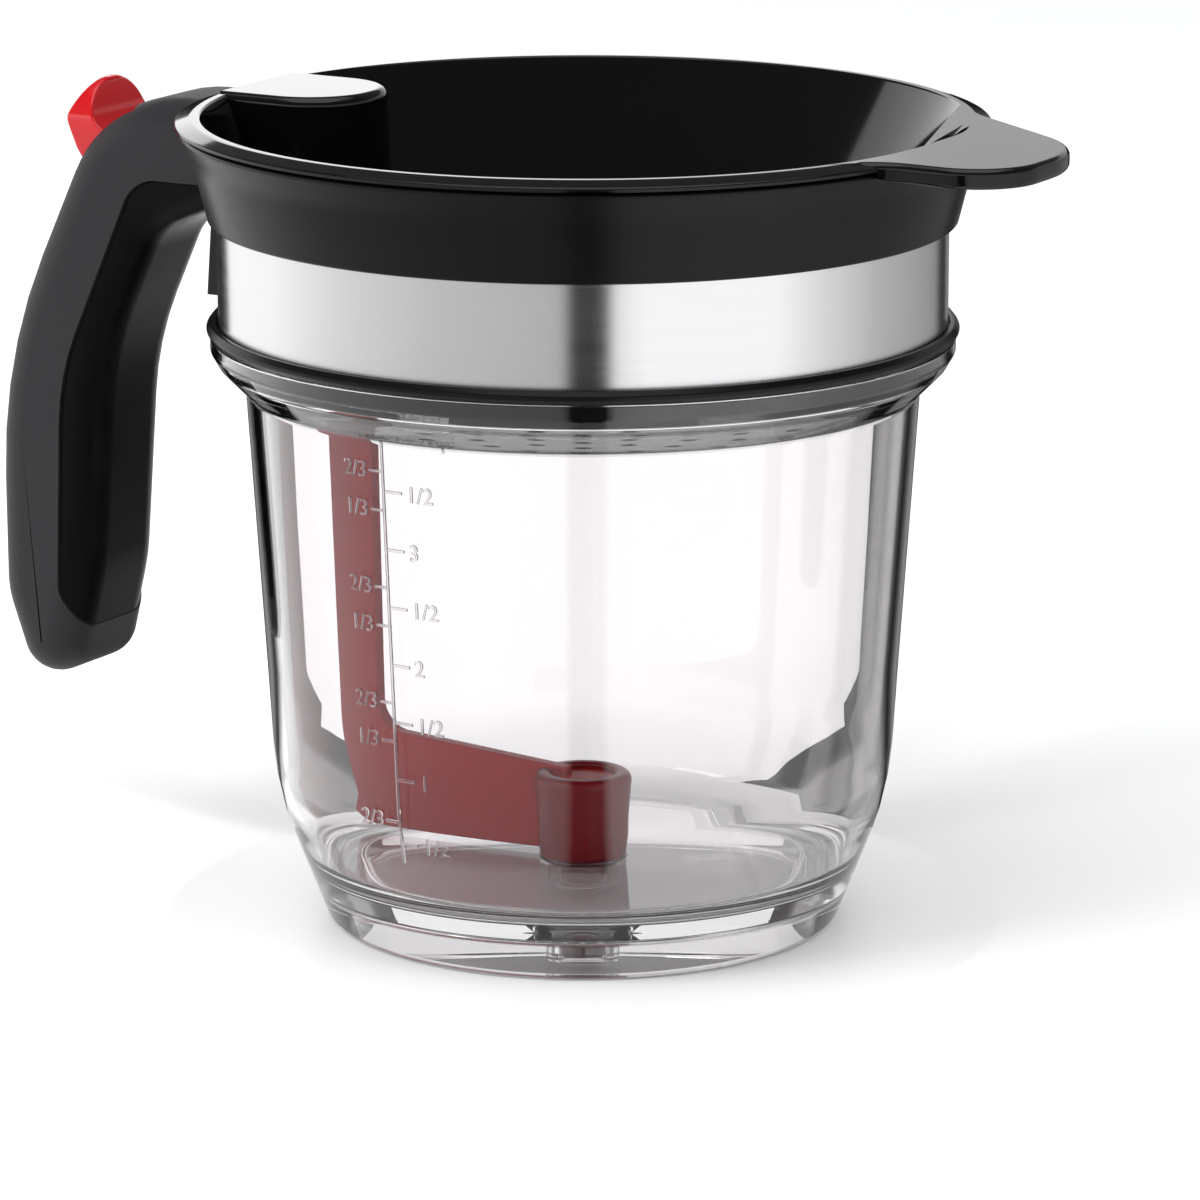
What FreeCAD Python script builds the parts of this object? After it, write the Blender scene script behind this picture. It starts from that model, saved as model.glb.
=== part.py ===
"""Gravy fat separator with a bottom outlet.

A clear measuring jug has a hole in the middle of its floor.  A soft plug closes
the hole.  The plug sits on the foot of a lift arm, and the arm hangs on a thumb
lever that is pinned in the neck of the handle.  Pressing the lever lifts the
plug.  A strainer lid drops into the collar and covers the top of the arm.

Frame: millimetres, +Z up, Z is the axis of the jug, z = 0 is the table.
The handle points to -X and the thumb tab of the lid points to +X.
"""
import FreeCAD, Part

import math
import os

import Sketcher
from FreeCAD import Placement, Rotation, Vector

doc = FreeCAD.newDocument("FatSeparator")

# ---------------------------------------------------------------- sizes

COMMON_SIZES = {
    "edgeFine": (0.4, "broken edge"),
    "edgeSoft": (0.8, "soft edge"),
    "edgeRound": (1.5, "rounded edge"),
    "edgeWide": (3, "wide rounding"),
    "reach": (5, "how far a cut runs past the part"),
}

JUG_SIZES = {
    "wallRadius": (63.8, "outside radius under the shoulder"),
    "wallTaper": (5.2, "outside narrower than that where the low cone ends"),
    "flareWidth": (9.9, "foot narrower than the end of the low cone"),
    "footRounding": (2.6, "rounding under the foot"),
    "footWidth": (5.5, "width of the ring that stands on the table"),
    "flareBlend": (60, "rounding between low cone and wall"),
    "flareBlendInside": (36, "rounding of the same corner inside"),
    "jugWall": (2.4, "wall of the jug"),
    "floorHeight": (11.5, "inside floor above the table"),
    "floorThickness": (3.2, "thickness of the floor"),
    "floorRounding": (7, "rounding between floor and wall"),
    "flareRise": (13.6, "end of the low cone above the floor"),
    "wallRise": (77.9, "shoulder above the end of the low cone"),
    "shoulderRise": (5, "height of the shoulder's slope"),
    "shoulderWidth": (3.1, "shoulder wider than the neck"),
    "shoulderThickness": (3.1, "straight edge of the shoulder"),
    "neckStep": (1.7, "neck wider than the wall under the shoulder"),
    "neckWall": (2.5, "wall of the neck"),
    "neckHeight": (15.9, "neck above the shoulder"),
    "outletRadius": (4.6, "radius of the outlet"),
    "seatWidth": (3.9, "width of the conical seat round the outlet"),
    "seatDepth": (4.5, "depth of the conical seat"),
    "spoutWall": (2.2, "wall of the outlet spout"),
    "spoutGap": (1.5, "spout end above the table"),
}

COLLAR_SIZES = {
    "collarFit": (0.2, "gap between jug neck and collar"),
    "sleeveWall": (2.5, "wall of the sleeve under the band"),
    "sealThickness": (1.4, "height of the seal on the jug rim"),
    "ledgeWidth": (1.7, "ledge over the jug rim"),
    "ledgeThickness": (2, "thickness of that ledge"),
    "boreStep": (0.9, "bore above the ledge wider than below it"),
    "boreRise": (5.6, "height of that bore, up to the flare"),
    "skirtRise": (5, "lower edge of the skirt above the ledge"),
    "skirtHeight": (17.2, "height of the skirt"),
    "skirtLip": (1.3, "width of the skirt's lower edge"),
    "skirtSpread": (3, "how far the skirt widens up to its waist"),
    "waistDrop": (5.2, "waist of the skirt below the top edge"),
    "skirtBlend": (14, "rounding at the waist"),
    "crestSpread": (2.6, "how far the skirt widens above its waist"),
    "topWidth": (2.8, "width of the top edge"),
    "slotBridge": (2.2, "collar left above the slot for the lever"),
    "bandThickness": (0.6, "sheet of the steel band"),
    "bandFit": (0.1, "gap between band and sleeve"),
    "bandTuck": (2, "band hidden behind the skirt"),
    "lipGap": (0.4, "gap between band and lips"),
    "ringWeb": (1.5, "web of the lower ring"),
    "ringFoot": (0.9, "lip of the lower ring at its lower edge"),
    "ringBelly": (1.6, "lip where it is widest"),
    "ringBellyRise": (4.4, "height of that place above the web"),
    "ringLip": (0.7, "lip at its tip"),
    "ringHeight": (6.9, "height of the lower ring"),
    "ringSeat": (3.5, "band seat above the bottom of the ring"),
}

HANDLE_SIZES = {
    "handleWidth": (28, "width of the handle"),
    "handleStep": (0.3, "top of the handle below the collar's top"),
    "rootDepth": (2.2, "the neck starts this deep in the sleeve"),
    "handleReach": (51.1, "furthest point of the back from the collar"),
    "crownInset": (25.6, "corner between top and back, before the back"),
    "crownRounding": (27, "rounding of the crown"),
    "backDrop": (54.7, "corner of the back below the top"),
    "backRounding": (105, "rounding of the back"),
    "heelInset": (0.5, "lower back corner before the back"),
    "heelDrop": (47.1, "lower back corner below the corner of the back"),
    "heelRounding": (20, "rounding of the lower back corner"),
    "tipInset": (6.4, "rear side of the tip before the back"),
    "tipDrop": (15.9, "tip below the lower back corner"),
    "tipWidth": (10.7, "width of the tip"),
    "tipFlat": (0.03, "flat left between the tip's two roundings"),
    "tipSpare": (0.2, "tip rounded more than the long edges"),
    "palmDepth": (22.3, "depth of the handle at the lower finger corner"),
    "palmRise": (5.5, "lower finger corner above the lower back corner"),
    "palmRounding": (40, "rounding of the lower finger corner"),
    "fingerDepth": (25.5, "depth of the handle at the upper finger corner"),
    "fingerRise": (2.4, "upper finger corner above the corner of the back"),
    "fingerRounding": (60, "rounding of the upper finger corner"),
    "archGap": (13.8, "corner of the arch under the neck, from the collar"),
    "archDrop": (26.3, "corner of the arch below the top"),
    "archRounding": (12, "rounding of the arch"),
    "neckDepth": (16.3, "height of the neck at its root"),
    "seamRise": (0.6, "seam above the underside of the neck's root"),
    "seamTurn": (2.5, "seam turns down this far behind the arch"),
    "seamTurnRounding": (8, "rounding of that turn"),
    "coreDepth": (8.7, "core in the middle of the handle"),
    "coreMiddleDrop": (1.6, "that place below the corner of the back"),
    "seamMiddleRounding": (50, "rounding of the seam there"),
    "coreDepthLow": (6.8, "core near the tip"),
    "coreLowRise": (1.5, "that place above the lower back corner"),
    "seamLowRounding": (6, "rounding of the seam there"),
    "seamEndRise": (9.4, "end of the seam above the tip"),
    "coreInset": (0.2, "core narrower than the grip, each side"),
    "cheekSide": (3.5, "grip beside the two cheeks of the core"),
    "cheekSink": (2, "how deep the cheeks root below the seam"),
    "cheekTop": (6, "top of the cheeks above the pivot"),
    "cheekRear": (4.5, "rear end of the cheeks behind the pivot"),
    "cheekFit": (0.1, "gap between cheeks and grip"),
    "screwRadius": (1.4, "shank of a handle screw"),
    "screwHeadRadius": (2.8, "head of a handle screw"),
    "screwHeadHeight": (1.7, "height of the head"),
    "screwHeadFit": (0.3, "gap round the head"),
    "screwDrop": (8.1, "screws below the collar's top"),
    "screwSink": (5.2, "seat of the heads inside the collar's edge"),
    "screwClear": (1.5, "tips of the screws before the lever's pin"),
}

LEVER_SIZES = {
    "pivotGap": (9.8, "pivot from the collar"),
    "pivotDrop": (9.1, "pivot below the collar's top"),
    "pinRadius": (1.5, "lever pin"),
    "pinFit": (0.05, "running clearance of the pin"),
    "pinInset": (0.5, "ends of the pin inside the cheeks' sides"),
    "leverAngle": (10.8, "travel of the lever in degrees"),
    "leverArmWidth": (8, "width of the lever's arm"),
    "leverSideFit": (0.7, "gap beside the lever's arm"),
    "pegArm": (33, "lifting peg from the pivot"),
    "pegDrop": (3.5, "peg below the pivot"),
    "pegRadius": (1.8, "lifting peg"),
    "pegFit": (0.3, "gap above and below the peg"),
    "pegEndFit": (0.8, "gap at the end of the notch"),
    "tineHeight": (2.1, "half height of the fork's tines"),
    "tineEnd": (2.8, "tines past the peg"),
    "forkDepth": (6.5, "fork behind the peg"),
    "forkFit": (0.4, "gap between tine and lift arm"),
    "armFront": (9, "where the arm rises behind the peg"),
    "armRear": (9, "where the arm meets the pivot hub"),
    "armBelow": (3.6, "underside of the arm below the pivot"),
    "armAbove": (1.1, "top of the arm at the lid above the pivot"),
    "armAboveRear": (3.1, "top of the arm at the handle above the pivot"),
    "hubHalf": (4.7, "half height of the pivot hub"),
    "paddleSide": (4, "handle beside the thumb paddle"),
    "paddleFit": (0.6, "gap round the paddle"),
    "paddleFront": (6.5, "front of the paddle's root behind the pivot"),
    "paddleBelow": (6.7, "underside of the root below the pivot"),
    "crestBehind": (20.7, "crest of the paddle behind the pivot"),
    "crestAbove": (10.3, "crest above the pivot"),
    "crestWidth": (0.9, "flat of the crest"),
    "heelBefore": (1.1, "rear of the root's underside before the crest"),
    "bulgeBehind": (4.5, "furthest point of the paddle behind the crest"),
    "bulgeBelow": (7.4, "that point below the crest"),
    "napeBehind": (1.5, "back of the paddle's neck behind the crest"),
    "napeAbove": (3.8, "that place above the underside"),
    "paddleScoop": (5, "rounding of the scoop"),
    "scoopBefore": (1.5, "deepest corner of the scoop before the crest"),
    "scoopBelow": (7.2, "that corner below the crest"),
    "floorBelow": (0.5, "floor of the scoop below the pivot"),
    "floorBehind": (13.5, "rear end of that floor behind the pivot"),
    "paddleCorner": (7, "rounding of the crest's corners"),
    "slotDrop": (1.4, "opening in the grip below the paddle's root"),
    "slotFront": (2, "front edge of that opening behind the root's front"),
    "cavityRear": (2.3, "rear wall of the cavity behind the root"),
    "springBehind": (12.5, "spring behind the pivot"),
    "springDepth": (10.3, "seat of the spring below the paddle's root"),
    "springTopGap": (0.1, "gap between spring and lever"),
    "springRadius": (3, "mean radius of the spring"),
    "springWire": (0.7, "wire of the spring"),
    "springPitch": (2.4, "pitch of the spring"),
    "springFit": (0.6, "gap round the spring"),
}

ARM_SIZES = {
    "armThickness": (3, "thickness of the lift arm"),
    "hookTop": (2.5, "bar over the peg"),
    "hookMouth": (4.6, "outer edge of the hook behind the peg"),
    "hookWall": (2, "hook inside the end of the notch"),
    "armGap": (3.5, "outer edge from the jug's wall under the shoulder"),
    "armShoulderRise": (1, "shoulder of the arm above that of the jug"),
    "armShoulderWidth": (10.7, "width of the arm at its shoulder"),
    "armBend": (40, "rounding of the inner edge at the shoulder"),
    "armShoulderRounding": (60, "rounding of the outer edge at the shoulder"),
    "kneeGap": (1.6, "knee of the arm from the jug's wall"),
    "kneeRise": (2.9, "knee above the end of the low cone"),
    "armKneeRounding": (30, "rounding of the knee"),
    "armWidth": (9, "width of the arm above the blade"),
    "armCornerRounding": (6, "rounding between arm and blade"),
    "heelGap": (1.2, "heel of the arm from the jug's floor corner"),
    "armHeelRounding": (7, "rounding of the heel"),
    "bladeLift": (1.4, "blade above the floor"),
    "bladeStep": (0.4, "top of the blade above the plug"),
    "bladeRise": (2.5, "how far the blade's top rises to the wall"),
    "hubRadius": (6.2, "peg that carries the plug"),
    "hubSink": (1, "top of that peg below the plug's rim"),
    "plugWall": (3.3, "sleeve of the plug at its rim"),
    "plugFootFit": (0.3, "plug narrower than its seat at the floor"),
    "plugHeight": (16.3, "top of the plug above the floor"),
    "plugRounding": (0.8, "rounding of the plug's rim"),
    "plugGap": (0.45, "plug above its seat when closed"),
    "noseFit": (0.4, "gap round the nose of the plug"),
    "noseDrop": (5, "nose below the seat"),
}

LID_SIZES = {
    "lidPlay": (0.1, "lid above the collar"),
    "rimOverhang": (0.5, "rim of the lid wider than the collar"),
    "rimHeight": (2.1, "top of the rim above its foot"),
    "rimEdge": (1.3, "edge of the rim"),
    "rimFootInset": (1, "foot of the rim inside the collar's edge"),
    "bowlFit": (1, "gap between bowl and collar at the top"),
    "ledgeFit": (0.6, "gap between bowl and ledge"),
    "bowlDepth": (36.7, "underside of the bowl below the rim's foot"),
    "lidWall": (2, "wall of the lid"),
    "bowlRounding": (5, "rounding of the bowl's floor"),
    "bowlRoundingInside": (4, "rounding of the same corner inside"),
    "mouthRounding": (1.2, "rounding of the bowl's mouth"),
    "domeHalf": (14.4, "half width of the arm cover on top"),
    "domeRoom": (7, "inner end of the arm cover before the peg"),
    "domeFlat": (0.8, "half of the flat left on that end"),
    "domeClear": (2.45, "room over the hook at the end of its travel"),
    "domeWall": (1.5, "wall of the arm cover"),
    "domeDraft": (2.5, "draft of its sides in degrees"),
    "domeEdge": (1.8, "rounding of its top edge"),
    "tabRootNear": (7.7, "near end of the tab's root inside the rim"),
    "tabRootNearSide": (29.3, "near end of the root from the middle"),
    "tabWaist": (0.7, "near corner between tab and rim inside the rim"),
    "tabWaistSide": (18.9, "that corner from the middle"),
    "tabBlend": (16, "rounding of that corner"),
    "tabTipNear": (23.5, "near corner of the tab's tip outside the rim"),
    "tabTipNearSide": (15, "near corner of the tip from the middle"),
    "tabCornerNear": (8.5, "rounding of the near corner"),
    "tabTipFar": (22.2, "far corner of the tab's tip outside the rim"),
    "tabTipFarSide": (7.9, "far corner of the tip from the middle"),
    "tabCornerFar": (22, "rounding of the far corner"),
    "tabFlank": (2.8, "bend in the tab's far side outside the rim"),
    "tabFlankSide": (26, "that bend from the middle"),
    "tabFlankRounding": (25, "rounding of the bend"),
    "tabRootFar": (11.1, "far end of the tab's root inside the rim"),
    "tabRootFarSide": (35.4, "far end of the root from the middle"),
    "tabThickness": (3.8, "thickness of the tab"),
    "tabEdge": (1, "rounding of the tab's edge"),
    "chordNear": (5.1, "near end of the straight inner edge inside the rim"),
    "chordNearSide": (3, "near end of that edge from the middle"),
    "chordFar": (20.4, "far end of the straight inner edge inside the rim"),
    "chordFarSide": (44, "far end of that edge from the middle"),
    "dimpleNear": (4.8, "near end of the dimple inside the rim"),
    "dimpleNearSide": (5.4, "near end of the dimple from the middle"),
    "dimpleFar": (10, "far end of the dimple inside the rim"),
    "dimpleFarSide": (28.7, "far end of the dimple from the middle"),
    "dimpleOuter": (4, "outer corner of the dimple inside the rim"),
    "dimpleSide": (18, "outer corner of the dimple from the middle"),
    "dimpleRounding": (24, "rounding of that corner"),
    "dimpleDepth": (1.5, "depth of the dimple"),
    "sieveHole": (3.4, "strainer hole"),
    "sieveMargin": (6, "outer ring of holes before the arm cover"),
}

SIEVE_RINGS = 4  # rings of holes round the middle hole
SIEVE_STEP = 6  # holes in the first ring, and added with every ring

sheet = doc.addObject("Spreadsheet::Sheet", "Sizes")


class Size:
    """A size that knows its number and the sheet formula that gives it."""

    def __init__(self, number, formula):
        self.number = float(number)
        self.formula = formula

    def __add__(self, other):
        other = as_size(other)
        return Size(self.number + other.number, f"({self.formula} + {other.formula})")

    def __sub__(self, other):
        other = as_size(other)
        return Size(self.number - other.number, f"({self.formula} - {other.formula})")

    def __mul__(self, other):
        other = as_size(other)
        return Size(self.number * other.number, f"{self.formula} * {other.formula}")

    def __truediv__(self, other):
        other = as_size(other)
        return Size(self.number / other.number, f"{self.formula} / ({other.formula})")

    def __radd__(self, other):
        return as_size(other) + self

    def __rsub__(self, other):
        return as_size(other) - self

    def __rmul__(self, other):
        return as_size(other) * self

    def __neg__(self):
        return as_size(-1) * self


def as_size(value):
    """A plain number becomes a Size whose formula is the number itself."""
    if isinstance(value, Size):
        return value
    return Size(value, f"({value!r})")


def sine(degrees):
    """Sine of an angle in degrees, as the sheet's formulas read it too."""
    return Size(math.sin(math.radians(degrees.number)), f"sin({degrees.formula})")


def cosine(degrees):
    """Cosine of an angle in degrees."""
    return Size(math.cos(math.radians(degrees.number)), f"cos({degrees.formula})")


def diagonal(run, rise):
    """Length of a straight line from its run and its rise."""
    number = math.hypot(run.number, rise.number)
    return Size(number, f"sqrt({run.formula} ^ 2 + {rise.formula} ^ 2)")


def fill_sheet():
    """Write every driving size to its own cell and return them by alias."""
    sizes = {}
    row = 1
    for group in (COMMON_SIZES, JUG_SIZES, COLLAR_SIZES, HANDLE_SIZES, LEVER_SIZES, ARM_SIZES, LID_SIZES):
        for alias, (value, meaning) in group.items():
            sheet.set(f"A{row}", meaning)
            sheet.set(f"B{row}", str(value))
            sheet.setAlias(f"B{row}", alias)
            sizes[alias] = Size(value, f"Sizes.{alias}")
            row += 1
    doc.recompute()
    return sizes


class Named:
    """The sizes as attributes, so a formula reads like plain words."""

    def __init__(self, sizes):
        self.__dict__.update(sizes)


s = Named(fill_sheet())
ZERO = as_size(0)

# ---------------------------------------------------------------- helpers

NODES = {}
TOUCH = 0.01  # two places closer than this are the same place
ALMOST_ROUND = 0.98  # share of a half circle that two corners may take up


def part_body(name):
    """A PartDesign body whose label is the name of its file."""
    body = doc.addObject("PartDesign::Body", name)
    body.Label = name
    body.Placement = Placement()
    NODES[name] = body
    return body


def bind(feature, prop, size):
    """Tie one property of a feature to the sheet."""
    feature.setExpression(prop, as_size(size).formula)


def new_sketch(body, name, plane, height=None):
    """A sketch on one of the body's own origin planes, raised by height."""
    sketch = body.newObject("Sketcher::SketchObject", name)
    planes = [f for f in body.Origin.OriginFeatures if f.Role == plane]
    sketch.AttachmentSupport = (planes[0], [""])
    sketch.MapMode = "FlatFace"
    if height is not None:
        height = as_size(height)
        sketch.AttachmentOffset = Placement(Vector(0, 0, height.number), Rotation())
        bind(sketch, "AttachmentOffset.Base.z", height)
    return sketch


def pin_point(sketch, geometry, point, x, y):
    """Hold a point of a sketch at two sizes from the sketch's origin."""
    for kind, size in (("DistanceX", x), ("DistanceY", y)):
        size = as_size(size)
        index = sketch.addConstraint(
            Sketcher.Constraint(kind, -1, 1, geometry, point, size.number)
        )
        sketch.setExpression(f"Constraints[{index}]", size.formula)


def tangent_points(before, corner, after, radius):
    """Where an arc of this radius leaves the two legs of a corner, and its centre."""
    into = Vector(before.x - corner.x, before.y - corner.y, 0).normalize()
    out = Vector(after.x - corner.x, after.y - corner.y, 0).normalize()
    half = into.getAngle(out) / 2
    leg = radius / math.tan(half)
    middle = (into + out).normalize()
    centre = corner + middle * (radius / math.sin(half))
    return corner + into * leg, corner + out * leg, centre


def draw_outline(sketch, corners):
    """Draw a closed outline through corners (x, y) or (x, y, rounding).

    A rounded corner keeps its sharp corner as a construction point, which is
    the point that the sizes hold; the arc is tangent to both legs.
    """
    places = [Vector(as_size(c[0]).number, as_size(c[1]).number, 0) for c in corners]
    count = len(corners)
    starts, ends, centres = [], [], []
    for i, corner in enumerate(corners):
        if len(corner) == 3:
            radius = as_size(corner[2]).number
            first, last, centre = tangent_points(
                places[i - 1], places[i], places[(i + 1) % count], radius
            )
        else:
            first, last, centre = places[i], places[i], None
        ends.append(first)
        starts.append(last)
        centres.append(centre)
    lines = []
    for i in range(count):
        lines.append(sketch.addGeometry(Part.LineSegment(starts[i], ends[(i + 1) % count])))
    for i, corner in enumerate(corners):
        incoming, outgoing = lines[i - 1], lines[i]
        if centres[i] is None:
            sketch.addConstraint(Sketcher.Constraint("Coincident", incoming, 2, outgoing, 1))
            pin_point(sketch, outgoing, 1, corner[0], corner[1])
        else:
            round_corner(sketch, incoming, outgoing, ends[i], starts[i], centres[i], corner, places[i])


def round_corner(sketch, incoming, outgoing, first, last, centre, corner, place):
    """Add the tangent arc of one rounded corner."""
    angle_first = math.atan2(first.y - centre.y, first.x - centre.x)
    angle_last = math.atan2(last.y - centre.y, last.x - centre.x)
    turn = (angle_last - angle_first) % (2 * math.pi)
    forward = turn < math.pi
    begin, end = (angle_first, angle_last) if forward else (angle_last, angle_first)
    radius = as_size(corner[2])
    circle = Part.Circle(centre, Vector(0, 0, 1), radius.number)
    arc = sketch.addGeometry(Part.ArcOfCircle(circle, begin, end))
    near, far = (1, 2) if forward else (2, 1)
    sketch.addConstraint(Sketcher.Constraint("Tangent", incoming, 2, arc, near))
    sketch.addConstraint(Sketcher.Constraint("Tangent", arc, far, outgoing, 1))
    index = sketch.addConstraint(Sketcher.Constraint("Radius", arc, radius.number))
    sketch.setExpression(f"Constraints[{index}]", radius.formula)
    point = sketch.addGeometry(Part.Point(place), True)
    sketch.addConstraint(Sketcher.Constraint("PointOnObject", point, 1, incoming))
    sketch.addConstraint(Sketcher.Constraint("PointOnObject", point, 1, outgoing))
    pin_point(sketch, point, 1, corner[0], corner[1])


def draw_circle(sketch, x, y, radius):
    """Draw one circle held by its centre and radius."""
    x, y, radius = as_size(x), as_size(y), as_size(radius)
    circle = Part.Circle(Vector(x.number, y.number, 0), Vector(0, 0, 1), radius.number)
    geometry = sketch.addGeometry(circle)
    pin_point(sketch, geometry, 3, x, y)
    index = sketch.addConstraint(Sketcher.Constraint("Radius", geometry, radius.number))
    sketch.setExpression(f"Constraints[{index}]", radius.formula)


def turned(body, name, corners, cut=False):
    """Turn an outline of (radius, height) corners about the jug axis."""
    sketch = new_sketch(body, f"{name}Outline", "XZ_Plane")
    draw_outline(sketch, corners)
    kind = "PartDesign::Groove" if cut else "PartDesign::Revolution"
    feature = body.newObject(kind, name)
    feature.Profile = sketch
    feature.ReferenceAxis = (sketch, ["V_Axis"])
    feature.Angle = 360
    doc.recompute()
    return feature


def slab(body, name, corners, width, cut=False):
    """Extrude a side view of (x, z) corners evenly to both sides of y = 0."""
    sketch = new_sketch(body, f"{name}Outline", "XZ_Plane")
    draw_outline(sketch, corners)
    return extrude(body, name, sketch, width, cut, both=True)


def extrude(body, name, sketch, length, cut=False, both=False):
    """Pad a sketch, or pocket it, by a length."""
    feature = body.newObject("PartDesign::Pocket" if cut else "PartDesign::Pad", name)
    feature.Profile = sketch
    feature.Type = 0
    feature.Midplane = both
    feature.Length = as_size(length).number
    bind(feature, "Length", length)
    doc.recompute()
    return feature


def rounded(body, name, radius, wanted):
    """Round the edges of the body's last feature that the test picks."""
    tip = body.Tip
    edges = [f"Edge{i + 1}" for i, edge in enumerate(tip.Shape.Edges) if wanted(edge)]
    feature = body.newObject("PartDesign::Fillet", name)
    feature.Base = (tip, edges)
    feature.Radius = as_size(radius).number
    bind(feature, "Radius", radius)
    doc.recompute()
    return feature


def box_corners(low_x, low_z, high_x, high_z):
    """The four corners of an upright rectangle."""
    return [(low_x, low_z), (high_x, low_z), (high_x, high_z), (low_x, high_z)]


def along_x(body, name, x):
    """A sketch square to X at this x; its own axes run along Y and Z."""
    return new_sketch(body, name, "YZ_Plane", x)


# ---------------------------------------------------------------- shared places


def line_at(low, high, height):
    """Radius at a height on the straight line between two (radius, height) points."""
    share = (as_size(height) - low[1]) / (high[1] - low[1])
    return low[0] + (high[0] - low[0]) * share


def round_end(width, *sides):
    """Rounding that turns the whole end of a bar, from one sloping side to the other.

    Each side is (run, rise) from the end's corner to the side's next corner.
    """
    spread = ZERO
    for run, rise in sides:
        spread = spread + (diagonal(run, rise) - run) / rise
    return width / spread


# jug
flare_radius = s.wallRadius - s.wallTaper
foot_radius = flare_radius - s.flareWidth
foot_bore = foot_radius - s.footWidth
flare_height = s.floorHeight + s.flareRise
shoulder_height = flare_height + s.wallRise
shoulder_low = shoulder_height + s.shoulderRise
shoulder_top = shoulder_low + s.shoulderThickness
neck_radius = s.wallRadius + s.neckStep
neck_bore = neck_radius - s.neckWall
neck_top = shoulder_top + s.neckHeight
shoulder_radius = neck_radius + s.shoulderWidth
underside = s.floorHeight - s.floorThickness
seat_low = s.floorHeight - s.seatDepth
seat_radius = s.outletRadius + s.seatWidth


def cone_inside(height):
    """Inside radius of the jug's low cone."""
    low = (foot_radius - s.jugWall, ZERO)
    high = (flare_radius - s.jugWall, flare_height)
    return line_at(low, high, height)


# collar, seal, band and lower ring
collar_bore = neck_radius + s.collarFit
ledge_low = neck_top + s.sealThickness
ledge_top = ledge_low + s.ledgeThickness
ledge_radius = collar_bore - s.ledgeWidth
upper_bore = collar_bore + s.boreStep
flare_start = ledge_top + s.boreRise
sleeve_low = shoulder_top + s.ringWeb
sleeve_radius = collar_bore + s.sleeveWall
skirt_low = ledge_top + s.skirtRise
collar_top = skirt_low + s.skirtHeight
waist_height = collar_top - s.waistDrop
slot_roof = collar_top - s.slotBridge
band_inner = sleeve_radius + s.bandFit
band_outer = band_inner + s.bandThickness
band_low = shoulder_top + s.ringSeat
band_high = skirt_low + s.bandTuck
lip_inner = band_outer + s.lipGap
skirt_radius = lip_inner + s.skirtLip
waist_radius = skirt_radius + s.skirtSpread
collar_radius = waist_radius + s.crestSpread
collar_mouth = collar_radius - s.topWidth
ring_foot = lip_inner + s.ringFoot
ring_belly = lip_inner + s.ringBelly
ring_lip = lip_inner + s.ringLip

# handle: distances from the jug axis, and heights
handle_root = sleeve_radius - s.rootDepth
handle_top = collar_top - s.handleStep
handle_back = collar_radius + s.handleReach
back_height = handle_top - s.backDrop
crown_reach = handle_back - s.crownInset
heel_reach = handle_back - s.heelInset
heel_height = back_height - s.heelDrop
tip_rear = handle_back - s.tipInset
tip_front = tip_rear - s.tipWidth
tip_height = heel_height - s.tipDrop
palm_reach = handle_back - s.palmDepth
palm_height = heel_height + s.palmRise
finger_reach = handle_back - s.fingerDepth
finger_height = back_height + s.fingerRise
arch_reach = collar_radius + s.archGap
arch_height = handle_top - s.archDrop
neck_low = handle_top - s.neckDepth
tip_rounding = round_end(
    s.tipWidth - s.tipFlat,
    (heel_reach - tip_rear, heel_height - tip_height),
    (tip_front - palm_reach, palm_height - tip_height),
)
handle_edge = tip_rounding - s.tipSpare
seam_height = neck_low + s.seamRise
seam_turn = arch_reach + s.seamTurn
seam_middle = finger_reach + s.coreDepth
seam_middle_height = back_height - s.coreMiddleDrop
seam_low = palm_reach + s.coreDepthLow
seam_low_height = heel_height + s.coreLowRise
seam_end = tip_height + s.seamEndRise
seam_foot = -line_at((tip_front, tip_height), (palm_reach, palm_height), seam_end)

# lever and its pivot
pivot_reach = collar_radius + s.pivotGap
pivot_height = collar_top - s.pivotDrop
peg_reach = pivot_reach - s.pegArm
peg_height = pivot_height - s.pegDrop
lift_travel = s.pegArm * sine(s.leverAngle) + s.pegDrop * (1 - cosine(s.leverAngle))
arm_bottom = pivot_height - s.armBelow
slot_half = s.leverArmWidth / 2 + s.leverSideFit
cheek_width = s.handleWidth - s.cheekSide * 2
cheek_rear = pivot_reach + s.cheekRear
cheek_top = pivot_height + s.cheekTop
pin_length = cheek_width - s.pinInset * 2
paddle_width = s.handleWidth - s.paddleSide * 2
paddle_front = pivot_reach + s.paddleFront
paddle_low = pivot_height - s.paddleBelow
crest_reach = pivot_reach + s.crestBehind
crest_height = pivot_height + s.crestAbove
paddle_heel = crest_reach - s.heelBefore
cavity_floor = paddle_low - (paddle_heel - pivot_reach) * sine(s.leverAngle) - s.paddleFit
spring_reach = pivot_reach + s.springBehind
spring_seat = paddle_low - s.springDepth
spring_outer = s.springRadius + s.springWire / 2
screw_side = (cheek_width / 2 + slot_half) / 2
screw_height = collar_top - s.screwDrop
screw_seat = collar_radius - s.screwSink
screw_length = pivot_reach - s.pinRadius - s.screwClear - screw_seat

# lift arm and plug
peg_room = s.pegRadius + s.pegFit
hook_top = peg_height + peg_room + s.hookTop
blade_low = s.floorHeight + s.bladeLift
plug_top = s.floorHeight + s.plugHeight

# strainer lid
lid_foot = collar_top + s.lidPlay
rim_radius = collar_radius + s.rimOverhang
rim_top = lid_foot + s.rimHeight
rim_foot = collar_radius - s.rimFootInset
bowl_radius = collar_mouth - s.bowlFit
bowl_floor = lid_foot - s.bowlDepth
bowl_floor_radius = line_at(
    (ledge_radius - s.ledgeFit, ledge_top), (bowl_radius, lid_foot), bowl_floor
)
cover_top = hook_top + lift_travel + s.domeClear + s.lidWall
cover_end = peg_reach - s.domeRoom
cover_corner = s.domeHalf - s.domeFlat


# ---------------------------------------------------------------- jug and collar


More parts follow.
